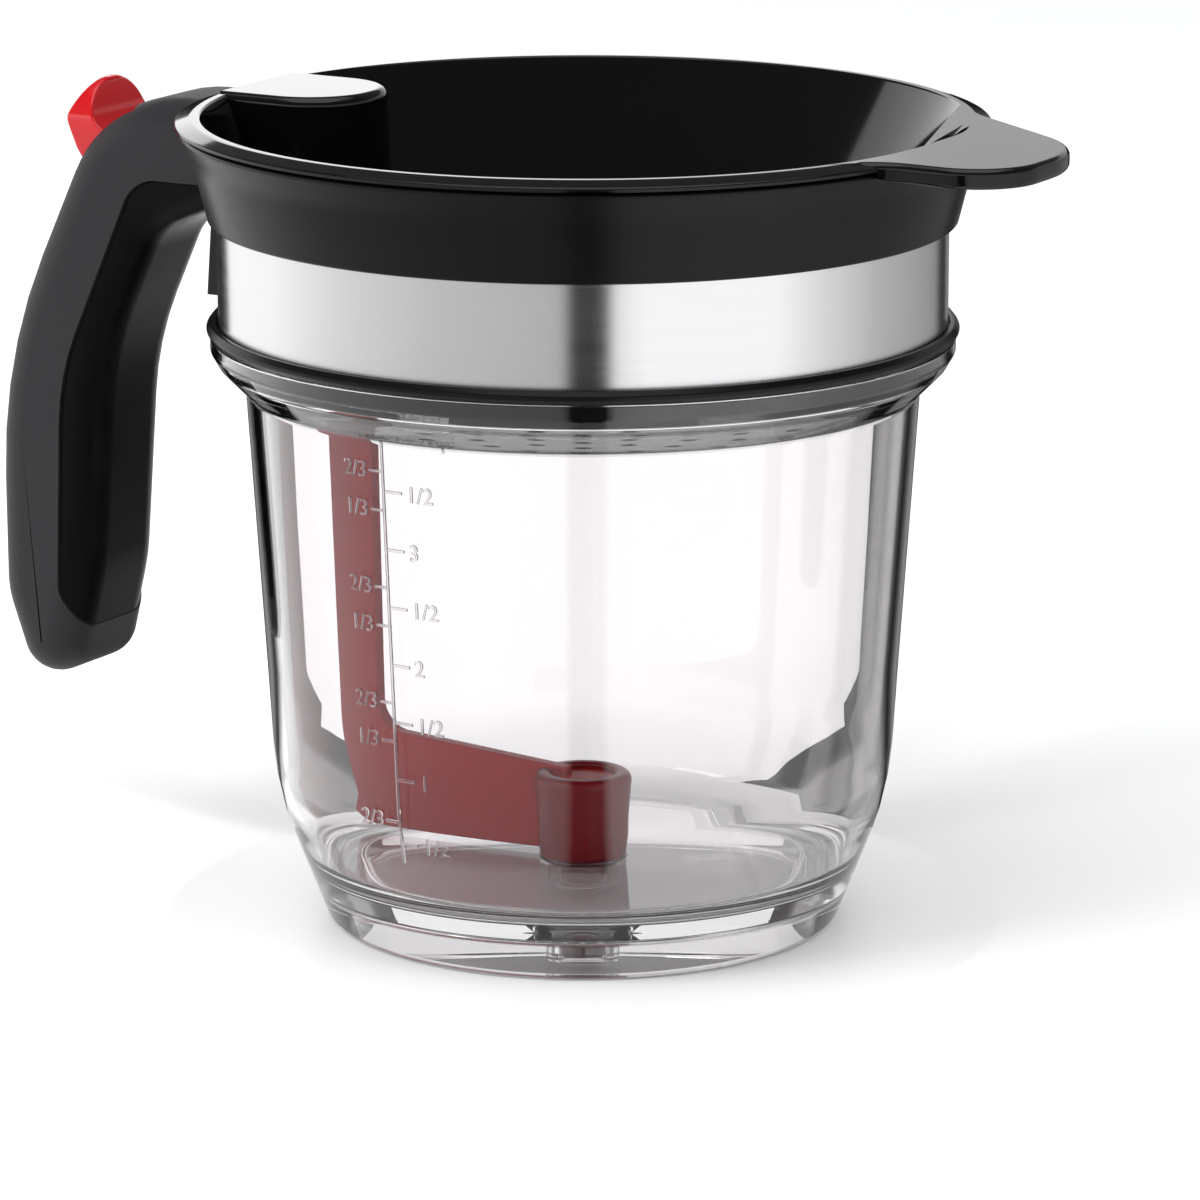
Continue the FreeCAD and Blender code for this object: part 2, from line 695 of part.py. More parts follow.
def make_jug():
    """Clear measuring jug: tapered wall, thick clear base, spout and neck."""
    body = part_body("jug")
    spout = s.outletRadius + s.spoutWall
    turned(body, "JugWall", [
        (s.outletRadius, s.spoutGap),
        (spout, s.spoutGap),
        (spout, underside, s.edgeRound),
        (foot_bore, underside, s.edgeRound),
        (foot_bore, ZERO),
        (foot_radius, ZERO, s.footRounding),
        (flare_radius, flare_height, s.flareBlend),
        (s.wallRadius, shoulder_height, s.edgeRound),
        (shoulder_radius, shoulder_low, s.edgeSoft),
        (shoulder_radius, shoulder_top, s.edgeFine),
        (neck_radius, shoulder_top),
        (neck_radius, neck_top, s.edgeFine),
        (neck_bore, neck_top, s.edgeFine),
        (neck_bore, shoulder_low, s.edgeWide),
        (s.wallRadius - s.jugWall, shoulder_height, s.edgeWide),
        (flare_radius - s.jugWall, flare_height, s.flareBlendInside),
        (cone_inside(s.floorHeight), s.floorHeight, s.floorRounding),
        (seat_radius, s.floorHeight),
        (s.outletRadius, seat_low),
    ])


def make_collar():
    """Collar: sleeve over the jug's neck, ledge over its rim, flared skirt."""
    body = part_body("collar")
    turned(body, "CollarRing", [
        (collar_bore, sleeve_low),
        (sleeve_radius, sleeve_low),
        (sleeve_radius, band_high),
        (lip_inner, band_high),
        (lip_inner, skirt_low),
        (skirt_radius, skirt_low, s.edgeFine),
        (waist_radius, waist_height, s.skirtBlend),
        (collar_radius, collar_top, s.edgeFine),
        (collar_mouth, collar_top, s.edgeFine),
        (upper_bore, flare_start, s.edgeWide),
        (upper_bore, ledge_top, s.edgeSoft),
        (ledge_radius, ledge_top, s.edgeFine),
        (ledge_radius, ledge_low),
        (collar_bore, ledge_low),
    ])
    inside, outside = ledge_radius - s.reach, collar_radius + s.reach
    slab(body, "LeverSlot", box_corners(
        -outside, arm_bottom - s.leverSideFit, -inside, slot_roof,
    ), slot_half * 2, cut=True)
    shanks = along_x(body, "ShankCentres", -inside)
    heads = along_x(body, "HeadCentres", -inside)
    for side in (-1, 1):
        draw_circle(shanks, side * screw_side, screw_height, s.screwRadius)
        draw_circle(heads, side * screw_side, screw_height, s.screwHeadRadius + s.screwHeadFit)
    extrude(body, "ShankHoles", shanks, outside - inside, cut=True)
    extrude(body, "HeadSeats", heads, screw_seat - inside, cut=True)


def make_collar_seal():
    """Soft ring squeezed between the jug's rim and the collar's ledge."""
    body = part_body("collar_seal")
    inner, outer = ledge_radius + s.collarFit, collar_bore - s.collarFit
    turned(body, "SealRing", box_corners(inner, neck_top, outer, ledge_low))


def make_steel_band():
    """Plain steel band between skirt and lower ring."""
    body = part_body("steel_band")
    turned(body, "Band", box_corners(band_inner, band_low, band_outer, band_high))


def make_band_ring():
    """Lower ring that holds the band: a web under the sleeve and a lip outside."""
    body = part_body("band_ring")
    turned(body, "LipRing", [
        (collar_bore, shoulder_top),
        (ring_foot, shoulder_top, s.edgeFine),
        (ring_foot, sleeve_low),
        (ring_belly, shoulder_top + s.ringBellyRise, s.edgeRound),
        (ring_lip, shoulder_top + s.ringHeight),
        (lip_inner, shoulder_top + s.ringHeight),
        (lip_inner, band_low),
        (sleeve_radius, band_low),
        (sleeve_radius, sleeve_low),
        (collar_bore, sleeve_low),
    ])


# ---------------------------------------------------------------- handle


def collar_side(body):
    """Cut away what would reach into the collar, along the skirt's own outline."""
    above = collar_top + s.reach
    turned(body, "CollarSide", [
        (ZERO, shoulder_height),
        (ring_belly + s.lipGap, shoulder_height),
        (ring_belly + s.lipGap, skirt_low - s.lipGap),
        (skirt_radius, skirt_low),
        (waist_radius, waist_height, s.skirtBlend),
        (collar_radius, collar_top),
        (collar_radius, above),
        (ZERO, above),
    ], cut=True)


def handle_slab(body, width):
    """The whole handle at a width, with its long edges rounded."""
    slab(body, "HandleSlab", [
        (-handle_root, handle_top),
        (-crown_reach, handle_top, s.crownRounding),
        (-handle_back, back_height, s.backRounding),
        (-heel_reach, heel_height, s.heelRounding),
        (-tip_rear, tip_height, tip_rounding),
        (-tip_front, tip_height, tip_rounding),
        (-palm_reach, palm_height, s.palmRounding),
        (-finger_reach, finger_height, s.fingerRounding),
        (-arch_reach, arch_height, s.archRounding),
        (-handle_root, neck_low),
    ], width)
    half = width.number / 2

    def long_edge(edge):
        box = edge.BoundBox
        in_side = box.YLength < TOUCH and abs(abs(box.YMax) - half) < TOUCH
        return in_side and box.XMin < -handle_root.number - TOUCH

    rounded(body, "LongEdges", handle_edge, long_edge)


def seam():
    """The seam between core and grip, from the collar down to where it runs out."""
    return [
        (-handle_root, seam_height),
        (-seam_turn, seam_height, s.seamTurnRounding),
        (-seam_middle, seam_middle_height, s.seamMiddleRounding),
        (-seam_low, seam_low_height, s.seamLowRounding),
        (seam_foot, seam_end),
        (seam_foot + s.reach * 2, seam_end - s.reach),
    ]


def make_handle_core():
    """Inner half of the handle, with two cheeks that carry the lever's pin."""
    body = part_body("handle_core")
    handle_slab(body, s.handleWidth - s.coreInset * 2)
    behind, above = handle_back + s.reach, handle_top + s.reach
    slab(body, "GripSide", seam() + [
        (seam_foot + s.reach * 2, ZERO),
        (-behind, ZERO),
        (-behind, above),
        (-handle_root, above),
    ], s.handleWidth, cut=True)
    slab(body, "Cheeks", box_corners(
        -cheek_rear, seam_height - s.cheekSink, -handle_root, cheek_top,
    ), cheek_width)
    slab(body, "LeverChannel", box_corners(
        -(cheek_rear + s.reach), seam_height, -(handle_root - s.reach), above,
    ), slot_half * 2, cut=True)
    collar_side(body)
    spring_bore(body)
    pin_hole(body, s.pinRadius)
    holes = along_x(body, "ScrewHoles", -handle_root)
    for side in (-1, 1):
        draw_circle(holes, side * screw_side, screw_height, s.screwRadius)
    extrude(body, "ScrewCores", holes, screw_seat + screw_length - handle_root, cut=True)


def spring_bore(body):
    """Blind bore in which the return spring stands."""
    start = cavity_floor + s.reach
    bore = new_sketch(body, "SpringBoreCentre", "XY_Plane", start)
    draw_circle(bore, -spring_reach, ZERO, spring_outer + s.springFit)
    extrude(body, "SpringBore", bore, start - spring_seat, cut=True)


def pin_hole(body, radius):
    """Hole for the lever's pin, through the whole width."""
    sketch = new_sketch(body, "PinCentre", "XZ_Plane")
    draw_circle(sketch, -pivot_reach, pivot_height, radius)
    extrude(body, "PinHole", sketch, pin_length, cut=True, both=True)


def make_handle_grip():
    """Outer soft-touch shell of the handle, hollow where the lever works."""
    body = part_body("handle_grip")
    handle_slab(body, s.handleWidth)
    slab(body, "CoreSide", seam() + [
        (-handle_root, seam_end - s.reach),
    ], s.handleWidth + s.reach, cut=True)
    collar_side(body)
    slab(body, "CheekRoom", box_corners(
        -(cheek_rear + s.cheekFit), seam_height - s.reach,
        -(handle_root - s.reach), cheek_top + s.cheekFit,
    ), cheek_width + s.cheekFit * 2, cut=True)
    behind, above = handle_back + s.reach, handle_top + s.reach
    slab(body, "PaddleRoom", [
        (-cheek_rear, cavity_floor),
        (-cheek_rear, cheek_top),
        (-(paddle_front + s.slotFront), cheek_top),
        (-(paddle_front + s.slotFront), above),
        (-behind, above),
        (-behind, paddle_low - s.slotDrop),
        (-(paddle_heel + s.cavityRear), paddle_low - s.slotDrop),
        (-(paddle_heel + s.cavityRear - s.edgeRound), cavity_floor),
    ], paddle_width + s.paddleFit * 2, cut=True)
    spring_bore(body)


def cylinder(name, radius, length, place, rotation):
    """A Part cylinder whose radius, length and place are bound to the sheet."""
    shape = doc.addObject("Part::Cylinder", name)
    bind(shape, "Radius", radius)
    bind(shape, "Height", length)
    shape.Placement = Placement(Vector(*[as_size(p).number for p in place]), rotation)
    for axis, size in zip("xyz", place):
        bind(shape, f"Placement.Base.{axis}", size)
    return shape


def fused(name, shapes):
    """Join Part shapes into one node."""
    node = doc.addObject("Part::MultiFuse", name)
    node.Shapes = shapes
    node.Label = name
    NODES[name] = node
    doc.recompute()
    return node


def make_handle_screws():
    """Two screws that hold the handle to the collar, heads inside the collar."""
    outward = Rotation(Vector(0, 1, 0), -90)
    inward = Rotation(Vector(0, 1, 0), 90)
    shapes = []
    for label, side in (("Near", -1), ("Far", 1)):
        place = (-screw_seat, side * screw_side, screw_height)
        shapes.append(cylinder(f"Shank{label}", s.screwRadius, screw_length, place, outward))
        shapes.append(cylinder(f"Head{label}", s.screwHeadRadius, s.screwHeadHeight, place, inward))
    fused("handle_screws", shapes)


# ---------------------------------------------------------------- lever


def make_lever():
    """Thumb lever: fork and peg inside the lid's cover, scooped paddle behind."""
    body = part_body("lever")
    make_lever_arm(body)
    make_paddle(body)
    fork_slot_and_peg(body)
    pin_hole(body, s.pinRadius + s.pinFit)


def make_lever_arm(body):
    """The lever's arm, from the tips of the fork to the root of the paddle."""
    tip, fork = -(peg_reach - s.tineEnd), -(peg_reach + s.forkDepth)
    front, rear = -(peg_reach + s.armFront), -(pivot_reach - s.armRear)
    hub_low, hub_top = pivot_height - s.hubHalf, pivot_height + s.hubHalf
    root = -(paddle_front + s.edgeRound)
    slab(body, "Arm", [
        (tip, peg_height - s.tineHeight, s.edgeSoft),
        (fork, peg_height - s.tineHeight),
        (front, arm_bottom),
        (rear, arm_bottom),
        (-(pivot_reach - s.hubHalf), hub_low),
        (root, hub_low),
        (root, pivot_height - s.floorBelow),
        (-(pivot_reach + s.hubHalf), hub_top, s.edgeRound),
        (-(pivot_reach - s.hubHalf), hub_top, s.edgeWide),
        (rear, pivot_height + s.armAboveRear),
        (front, pivot_height + s.armAbove),
        (fork, peg_height + s.tineHeight),
        (tip, peg_height + s.tineHeight, s.edgeSoft),
    ], s.leverArmWidth)


def make_paddle(body):
    """The thumb paddle: a scoop in front of a crest with rounded corners."""
    floor = pivot_height - s.floorBelow
    half_crest = s.crestWidth / 2
    slab(body, "Paddle", [
        (-paddle_front, paddle_low, s.edgeSoft),
        (-paddle_front, floor, s.edgeFine),
        (-(pivot_reach + s.floorBehind), floor, s.paddleScoop),
        (-(crest_reach - s.scoopBefore), crest_height - s.scoopBelow, s.paddleScoop),
        (-(crest_reach - half_crest), crest_height, s.edgeFine),
        (-(crest_reach + half_crest), crest_height, s.edgeFine),
        (-(crest_reach + s.bulgeBehind), crest_height - s.bulgeBelow, s.edgeRound),
        (-(crest_reach + s.napeBehind), paddle_low + s.napeAbove, s.paddleScoop),
        (-paddle_heel, paddle_low, s.edgeSoft),
    ], paddle_width)
    outside = along_x(body, "CrestOutline", -paddle_front)
    half, low, high = paddle_width / 2, paddle_low - s.reach, crest_height + s.reach
    draw_outline(outside, [
        (-(half + s.reach), low),
        (-(half + s.reach), high),
        (half + s.reach, high),
        (half + s.reach, low),
        (half, low),
        (half, crest_height, s.paddleCorner),
        (-half, crest_height, s.paddleCorner),
        (-half, low),
    ])
    behind = crest_reach + s.bulgeBehind + s.reach - paddle_front
    extrude(body, "CrestCorners", outside, behind, cut=True)


def fork_slot_and_peg(body):
    """Slot between the two tines, and the peg that joins them."""
    tip, fork = -(peg_reach - s.tineEnd), -(peg_reach + s.forkDepth)
    slab(body, "ForkSlot", box_corners(
        fork, peg_height - s.reach, tip + s.reach, peg_height + s.reach,
    ), s.armThickness + s.forkFit * 2, cut=True)
    peg = new_sketch(body, "PegCentre", "XZ_Plane")
    draw_circle(peg, -peg_reach, peg_height, s.pegRadius)
    extrude(body, "Peg", peg, s.leverArmWidth, both=True)


def make_lever_pin():
    """Steel pin across the neck of the handle, on which the lever turns."""
    across = Rotation(Vector(1, 0, 0), -90)
    place = (-pivot_reach, -pin_length / 2, pivot_height)
    pin = cylinder("lever_pin", s.pinRadius, pin_length, place, across)
    pin.Label = "lever_pin"
    NODES["lever_pin"] = pin


def make_return_spring():
    """Compression spring under the rear of the lever."""
    body = part_body("return_spring")
    section = new_sketch(body, "WireSection", "XZ_Plane")
    wire = s.springWire / 2
    draw_circle(section, -spring_reach + s.springRadius, spring_seat + wire, wire)
    axis = section.addGeometry(Part.LineSegment(
        Vector(-spring_reach.number, spring_seat.number, 0),
        Vector(-spring_reach.number, paddle_low.number, 0),
    ), True)
    pin_point(section, axis, 1, -spring_reach, spring_seat)
    pin_point(section, axis, 2, -spring_reach, paddle_low)
    coil = body.newObject("PartDesign::AdditiveHelix", "Coil")
    coil.Profile = section
    coil.ReferenceAxis = (section, ["Axis0"])
    coil.Mode = 0
    bind(coil, "Pitch", s.springPitch)
    bind(coil, "Height", paddle_low - s.springTopGap - spring_seat - s.springWire)
    doc.recompute()


# ---------------------------------------------------------------- lift arm and plug


def make_lift_arm():
    """Red arm: hook over the lever's peg, upright along the wall, blade and hub."""
    body = part_body("lift_arm")
    notch_end = peg_reach - s.pegRadius - s.pegEndFit
    hook_reach = peg_reach + s.hookMouth
    shoulder = s.wallRadius - s.jugWall - s.armGap
    knee = flare_radius - s.jugWall - s.kneeGap
    blade_top = plug_top + s.bladeStep
    slab(body, "ArmPlate", [
        (-hook_reach, hook_top, s.edgeRound),
        (-(notch_end - s.hookWall), hook_top, s.edgeRound),
        (-(shoulder - s.armShoulderWidth), shoulder_height + s.armShoulderRise, s.armBend),
        (-(knee - s.armWidth), blade_top + s.bladeRise, s.armCornerRounding),
        (-s.hubRadius / 2, blade_top),
        (-s.hubRadius / 2, blade_low),
        (-(cone_inside(s.floorHeight) - s.heelGap), blade_low, s.armHeelRounding),
        (-knee, flare_height + s.kneeRise, s.armKneeRounding),
        (-shoulder, shoulder_height + s.armShoulderRise, s.armShoulderRounding),
    ], s.armThickness)
    open_side, end_rounding = -(hook_reach + s.reach), peg_room * ALMOST_ROUND
    slab(body, "HookMouth", [
        (open_side, peg_height - peg_room),
        (-notch_end, peg_height - peg_room, end_rounding),
        (-notch_end, peg_height + peg_room, end_rounding),
        (open_side, peg_height + peg_room),
    ], s.armThickness, cut=True)
    turned(body, "Hub", box_corners(ZERO, blade_low, s.hubRadius, plug_top - s.hubSink))


def make_plug():
    """Soft plug: a sleeve over the arm's hub and a cone for the jug's seat."""
    body = part_body("plug")
    nose = s.outletRadius - s.noseFit
    nose_low = seat_low + s.plugGap
    plug_radius = s.hubRadius + s.plugWall
    turned(body, "PlugBody", [
        (ZERO, nose_low - s.noseDrop),
        (nose, nose_low - s.noseDrop, s.edgeSoft),
        (nose, nose_low),
        (seat_radius - s.plugFootFit, s.floorHeight + s.plugGap, s.edgeFine),
        (plug_radius, plug_top, s.plugRounding),
        (s.hubRadius, plug_top, s.plugRounding),
        (s.hubRadius, blade_low),
        (ZERO, blade_low),
    ])
    slab(body, "BladeSlot", box_corners(
        -(plug_radius + s.reach), blade_low, -s.hubRadius / 2, plug_top + s.reach,
    ), s.armThickness, cut=True)


# ---------------------------------------------------------------- strainer lid


def make_strainer_lid():
    """Funnel with a perforated floor, a cover for the arm and a thumb tab."""
    body = part_body("strainer_lid")
    rim_low = rim_top - s.rimEdge
    slope = (bowl_radius - bowl_floor_radius) / s.bowlDepth
    inset = s.lidWall * math.hypot(1, slope.number)
    mouth = bowl_radius + slope * s.rimHeight - inset
    floor_radius = bowl_floor_radius + slope * s.lidWall - inset
    make_cover(body)
    make_tab(body)
    outside, tab_low = rim_radius + s.reach, rim_top - s.tabThickness
    inside_rim = rim_low + s.rimEdge / 2
    turned(body, "CollarRoom", [
        (bowl_floor_radius - inset / 2, bowl_floor - s.reach),
        (outside, bowl_floor - s.reach),
        (outside, tab_low),
        (rim_radius, tab_low),
        (rim_radius, rim_low),
        (rim_foot, rim_low),
        (rim_foot, inside_rim),
        (bowl_radius - inset / 2, inside_rim),
        (bowl_floor_radius - inset / 2, bowl_floor),
    ], cut=True)
    turned(body, "Bowl", [
        (ZERO, bowl_floor),
        (bowl_floor_radius, bowl_floor, s.bowlRounding),
        (bowl_radius, lid_foot),
        (rim_foot, lid_foot),
        (rim_foot, rim_low),
        (rim_radius, rim_low, s.edgeFine),
        (rim_radius, rim_top, s.edgeFine),
        (mouth, rim_top, s.mouthRounding),
        (floor_radius, bowl_floor + s.lidWall, s.bowlRoundingInside),
        (ZERO, bowl_floor + s.lidWall),
    ])
    hollow_cover(body)
    make_dimple(body)
    make_sieve(body)


def cover_outline(sketch, half, end, corner):
    """Plan of the arm cover: straight sides and a rounded inner end."""
    draw_outline(sketch, [
        (-bowl_radius, -half),
        (-end, -half, corner),
        (-end, half, corner),
        (-bowl_radius, half),
    ])


def make_cover(body):
    """Raised cover that stands in the bowl over the top of the lift arm."""
    plan = new_sketch(body, "CoverPlan", "XY_Plane", cover_top)
    cover_outline(plan, s.domeHalf, cover_end, cover_corner)
    cover = body.newObject("PartDesign::Pad", "Cover")
    cover.Profile = plan
    cover.Type = 0
    cover.Reversed = True
    bind(cover, "Length", cover_top - bowl_floor)
    bind(cover, "TaperAngle", s.domeDraft)
    doc.recompute()
    top = cover_top.number

    def top_edge(edge):
        box = edge.BoundBox
        return abs(box.ZMin - top) < TOUCH

    rounded(body, "CoverEdge", s.domeEdge, top_edge)


def make_tab(body):
    """Lopsided thumb tab opposite the handle, with a straight edge across the bowl."""
    plan = new_sketch(body, "TabPlan", "XY_Plane", rim_top - s.tabThickness)
    root_far = rim_radius - s.tabRootFar
    draw_outline(plan, [
        (rim_radius - s.chordNear, -s.chordNearSide),
        (rim_radius - s.tabRootNear, -s.tabRootNearSide),
        (rim_radius - s.tabWaist, -s.tabWaistSide, s.tabBlend),
        (rim_radius + s.tabTipNear, -s.tabTipNearSide, s.tabCornerNear),
        (rim_radius + s.tabTipFar, s.tabTipFarSide, s.tabCornerFar),
        (rim_radius + s.tabFlank, s.tabFlankSide, s.tabFlankRounding),
        (root_far, s.tabRootFarSide),
        (rim_radius - s.chordFar, s.chordFarSide),
    ])
    extrude(body, "Tab", plan, s.tabThickness)

    def tab_edge(edge):
        box = edge.BoundBox
        flat = box.ZLength < TOUCH
        near_root = abs(box.YMax + s.chordNearSide.number) < TOUCH
        far_root = abs(box.XMax - root_far.number) < TOUCH
        return flat and box.XMin > 0 and not near_root and not far_root

    rounded(body, "TabEdge", s.tabEdge, tab_edge)


def make_dimple(body):
    """Shallow crescent behind the straight inner edge."""
    dimple = new_sketch(body, "DimplePlan", "XY_Plane", rim_top)
    draw_outline(dimple, [
        (rim_radius - s.dimpleNear, s.dimpleNearSide),
        (rim_radius - s.dimpleOuter, s.dimpleSide, s.dimpleRounding),
        (rim_radius - s.dimpleFar, s.dimpleFarSide),
    ])
    extrude(body, "Dimple", dimple, s.dimpleDepth, cut=True)


def hollow_cover(body):
    """Room under the cover for hook and lever, open below and towards the handle."""
    roof = cover_top - s.lidWall
    plan = new_sketch(body, "HollowPlan", "XY_Plane", roof)
    wall = s.domeWall
    cover_outline(plan, s.domeHalf - wall, cover_end + wall, cover_corner - wall)
    room = body.newObject("PartDesign::Pocket", "Hollow")
    room.Profile = plan
    room.Type = 0
    bind(room, "Length", roof - bowl_floor + s.reach)
    bind(room, "TaperAngle", s.domeDraft)
    doc.recompute()


def sieve_hole(body, name, radius):
    """One strainer hole at a distance from the axis."""
    floor_top = bowl_floor + s.lidWall
    sketch = new_sketch(body, f"{name}Centre", "XY_Plane", floor_top)
    draw_circle(sketch, radius, ZERO, s.sieveHole / 2)
    return sketch, extrude(body, name, sketch, s.lidWall + s.reach, cut=True)


def make_sieve(body):
    """Rings of strainer holes round one in the middle of the floor."""
    pitch = (cover_end - s.sieveMargin) / SIEVE_RINGS
    sieve_hole(body, "SieveMiddle", ZERO)
    for ring in range(1, SIEVE_RINGS + 1):
        sketch, hole = sieve_hole(body, f"Sieve{ring}", pitch * ring)
        pattern = body.newObject("PartDesign::PolarPattern", f"SieveRing{ring}")
        pattern.Originals = [hole]
        pattern.Axis = (sketch, ["N_Axis"])
        pattern.Angle = 360
        pattern.Occurrences = int(SIEVE_STEP * ring)
        body.Tip = pattern
        doc.recompute()


# ---------------------------------------------------------------- build and write


def check_document():
    """Stop with a plain message if anything in the document failed."""
    doc.recompute()
    for item in doc.Objects:
        bad = {"Invalid", "Error"} & set(item.State)
        if bad:
            raise RuntimeError(f"{item.Name} ({item.Label}) is {bad}")
    for name, node in NODES.items():
        if node.Shape.isNull() or not node.Shape.isValid():
            raise RuntimeError(f"{name} has no valid shape")
        if not node.Shape.Solids:
            raise RuntimeError(f"{name} holds no solid")


def write_parts():
    """Write each sub-part to a STEP file named after it."""
    os.makedirs("parts", exist_ok=True)
    for name, node in NODES.items():
        node.Shape.exportStep(f"parts/{name}.step")
        print(f"{name}: {len(node.Shape.Solids)} solid, {node.Shape.Volume / 1000:.2f} ml")


make_jug()
make_collar()
make_collar_seal()
make_steel_band()
make_band_ring()
make_handle_core()
make_handle_grip()
make_handle_screws()
make_lever()
make_lever_pin()
make_return_spring()
make_lift_arm()
make_plug()
make_strainer_lid()
check_document()
write_parts()
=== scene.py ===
# %% [markdown]
# # A gravy fat separator
#
# The object is a clear measuring jug under a black collar.  A strainer lid drops
# into the collar, and a thumb lever in the handle lifts a red plug off an outlet
# in the floor of the jug.
#
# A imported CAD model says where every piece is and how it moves.  This file gives
# the pieces their looks: finer meshes with soft edges where light shows them,
# and a material for every surface.  It starts by loading that model.

# %% Load the frame
import math

import bmesh
import bpy
from mathutils import Matrix, Vector


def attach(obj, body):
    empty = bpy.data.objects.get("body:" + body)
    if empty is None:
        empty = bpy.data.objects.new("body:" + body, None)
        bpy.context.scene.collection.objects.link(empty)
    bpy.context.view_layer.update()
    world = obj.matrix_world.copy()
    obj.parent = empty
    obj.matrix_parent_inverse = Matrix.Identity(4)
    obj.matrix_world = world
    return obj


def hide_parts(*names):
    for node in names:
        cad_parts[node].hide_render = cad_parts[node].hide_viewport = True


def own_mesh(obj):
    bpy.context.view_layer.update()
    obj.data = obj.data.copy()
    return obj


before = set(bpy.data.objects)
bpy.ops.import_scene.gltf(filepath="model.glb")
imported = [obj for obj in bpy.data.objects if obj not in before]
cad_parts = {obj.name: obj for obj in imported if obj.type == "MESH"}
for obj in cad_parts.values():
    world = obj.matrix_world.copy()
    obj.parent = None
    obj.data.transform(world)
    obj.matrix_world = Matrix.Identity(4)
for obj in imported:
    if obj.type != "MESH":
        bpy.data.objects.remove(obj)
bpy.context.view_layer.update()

MM = 0.001

# %% [markdown]
# ## Drawing a profile
#
# Nearly every piece here starts as a flat outline, as it would in a moulder's
# drawing: a list of sharp corners, some of them with a rounding.  A bevel at the
# vertex would do for square corners, but at other angles it isn't a true arc.  So
# one point is spun about the arc's centre, from leg to leg, and the chain of all
# points becomes one flat face.
#
# The same helper serves side views, which lie in the XZ plane, and plans, which
# lie in the XY plane at some height.

# %% Flat outlines
ARC_STEP = math.radians(6)  # the most that one edge of a rounding turns


def side_view(x, z):
    """A place in the side view through the jug's axis."""
    return Vector((x, 0, z)) * MM


def plan_at(height):
    """A function that places plan points at this height."""
    return lambda x, y: Vector((x, y, height)) * MM


def arc(bm, before, corner, after, radius):
    """Spin one point along the arc that rounds a corner, and return its points in order."""
    into, out = (before - corner).normalized(), (after - corner).normalized()
    half = into.angle(out) / 2
    start = corner + into * (radius / math.tan(half))
    centre = corner + (into + out).normalized() * (radius / math.sin(half))
    turn = math.pi - 2 * half
    first = len(bm.verts)
    bmesh.ops.spin(
        bm, geom=[bm.verts.new(start)], cent=centre, axis=out.cross(into).normalized(),
        angle=turn, steps=max(2, math.ceil(turn / ARC_STEP)),
    )
    bm.verts.ensure_lookup_table()
    return bm.verts[first:]


def outline(bm, corners, place=side_view):
    """Draw (x, z) or (x, z, rounding) corners as one flat face."""
    points = [place(*corner[:2]) for corner in corners]
    chain = []
    for i, corner in enumerate(corners):
        if len(corner) == 3:
            after = points[(i + 1) % len(points)]
            chain += arc(bm, points[i - 1], points[i], after, corner[2] * MM)
        else:
            chain.append(bm.verts.new(points[i]))
    return bm.faces.new(chain)


print("roundings turn at most", round(math.degrees(ARC_STEP), 1), "degrees a step")

# %% [markdown]
# ## Turned and flat shapes
#
# A turned piece is its half profile spun once round the jug's axis.  A full spin
# has to weld its last ring to its first, and points on the axis fall together, so
# doubles are merged before the normals are made to point outwards.
#
# A flat piece, such as the handle or the lift arm, is its side view pulled out to
# its width, evenly to both sides of the middle.

# %% Turned and flat shapes
TURN_STEPS = 256
WELD = 0.0005 * MM


def tidy(bm):
    """Merge what lies in one place and turn every face outwards."""
    bmesh.ops.remove_doubles(bm, verts=bm.verts, dist=WELD)
    bmesh.ops.recalc_face_normals(bm, faces=bm.faces)


def turned(corners, steps=TURN_STEPS):
    """Spin a half profile of (radius, height) corners round the jug's axis."""
    bm = bmesh.new()
    outline(bm, corners)
    bmesh.ops.delete(bm, geom=bm.faces[:], context="FACES_ONLY")
    on_axis = [e for e in bm.edges if all(abs(v.co.x) < WELD for v in e.verts)]
    bmesh.ops.delete(bm, geom=on_axis, context="EDGES")
    bmesh.ops.spin(
        bm, geom=bm.verts[:] + bm.edges[:], cent=(0, 0, 0), axis=(0, 0, 1),
        angle=math.tau, steps=steps, use_merge=True,
    )
    tidy(bm)
    return bm


def pull(bm, face, way):
    """Pull a flat face out into a solid and return the far face."""
    result = bmesh.ops.extrude_face_region(bm, geom=[face], use_keep_orig=True)
    far = [item for item in result["geom"] if isinstance(item, bmesh.types.BMFace)]
    moved = [item for item in result["geom"] if isinstance(item, bmesh.types.BMVert)]
    bmesh.ops.translate(bm, verts=moved, vec=way)
    return far[0]


def slab(corners, width):
    """A side view pulled out evenly to both sides of the middle plane."""
    bm = bmesh.new()
    face = outline(bm, corners)
    bmesh.ops.translate(bm, verts=bm.verts, vec=(0, -width / 2 * MM, 0))
    pull(bm, face, (0, width * MM, 0))
    tidy(bm)
    return bm


def plate(corners, low, high):
    """A plan pulled up from one height to another."""
    bm = bmesh.new()
    face = outline(bm, corners, plan_at(low))
    pull(bm, face, (0, 0, (high - low) * MM))
    tidy(bm)
    return bm


def soften(bm, radius, wanted, segments):
    """Round the edges that the test picks."""
    edges = [edge for edge in bm.edges if wanted(edge)]
    bmesh.ops.bevel(
        bm, geom=edges, offset=radius * MM, offset_type="OFFSET", affect="EDGES",
        segments=segments, profile=0.5, material=-1,
    )


CORNER = math.radians(40)  # well above the step of a rounding


def sharp(edge):
    """True on an edge where the surface turns a real corner."""
    return len(edge.link_faces) == 2 and edge.calc_face_angle() > CORNER


print("a full turn has", TURN_STEPS, "steps")

# %% [markdown]
# ## From mesh to piece
#
# A finished piece is an object at the origin whose place is in its mesh.  Where
# pieces of one moulding meet, and where a slot or a hole goes through, a boolean
# modifier with the exact solver does the work, and its result is kept as the mesh.
#
# Smooth shading spreads light over a rounding, but it would also bend the light
# on a flat face beside it.  So edges sharper than a limit stay sharp, and a
# weighted normal modifier lets the large faces decide the normals.

# %% Pieces, booleans and shading
SHARP_LIMIT = math.radians(32)


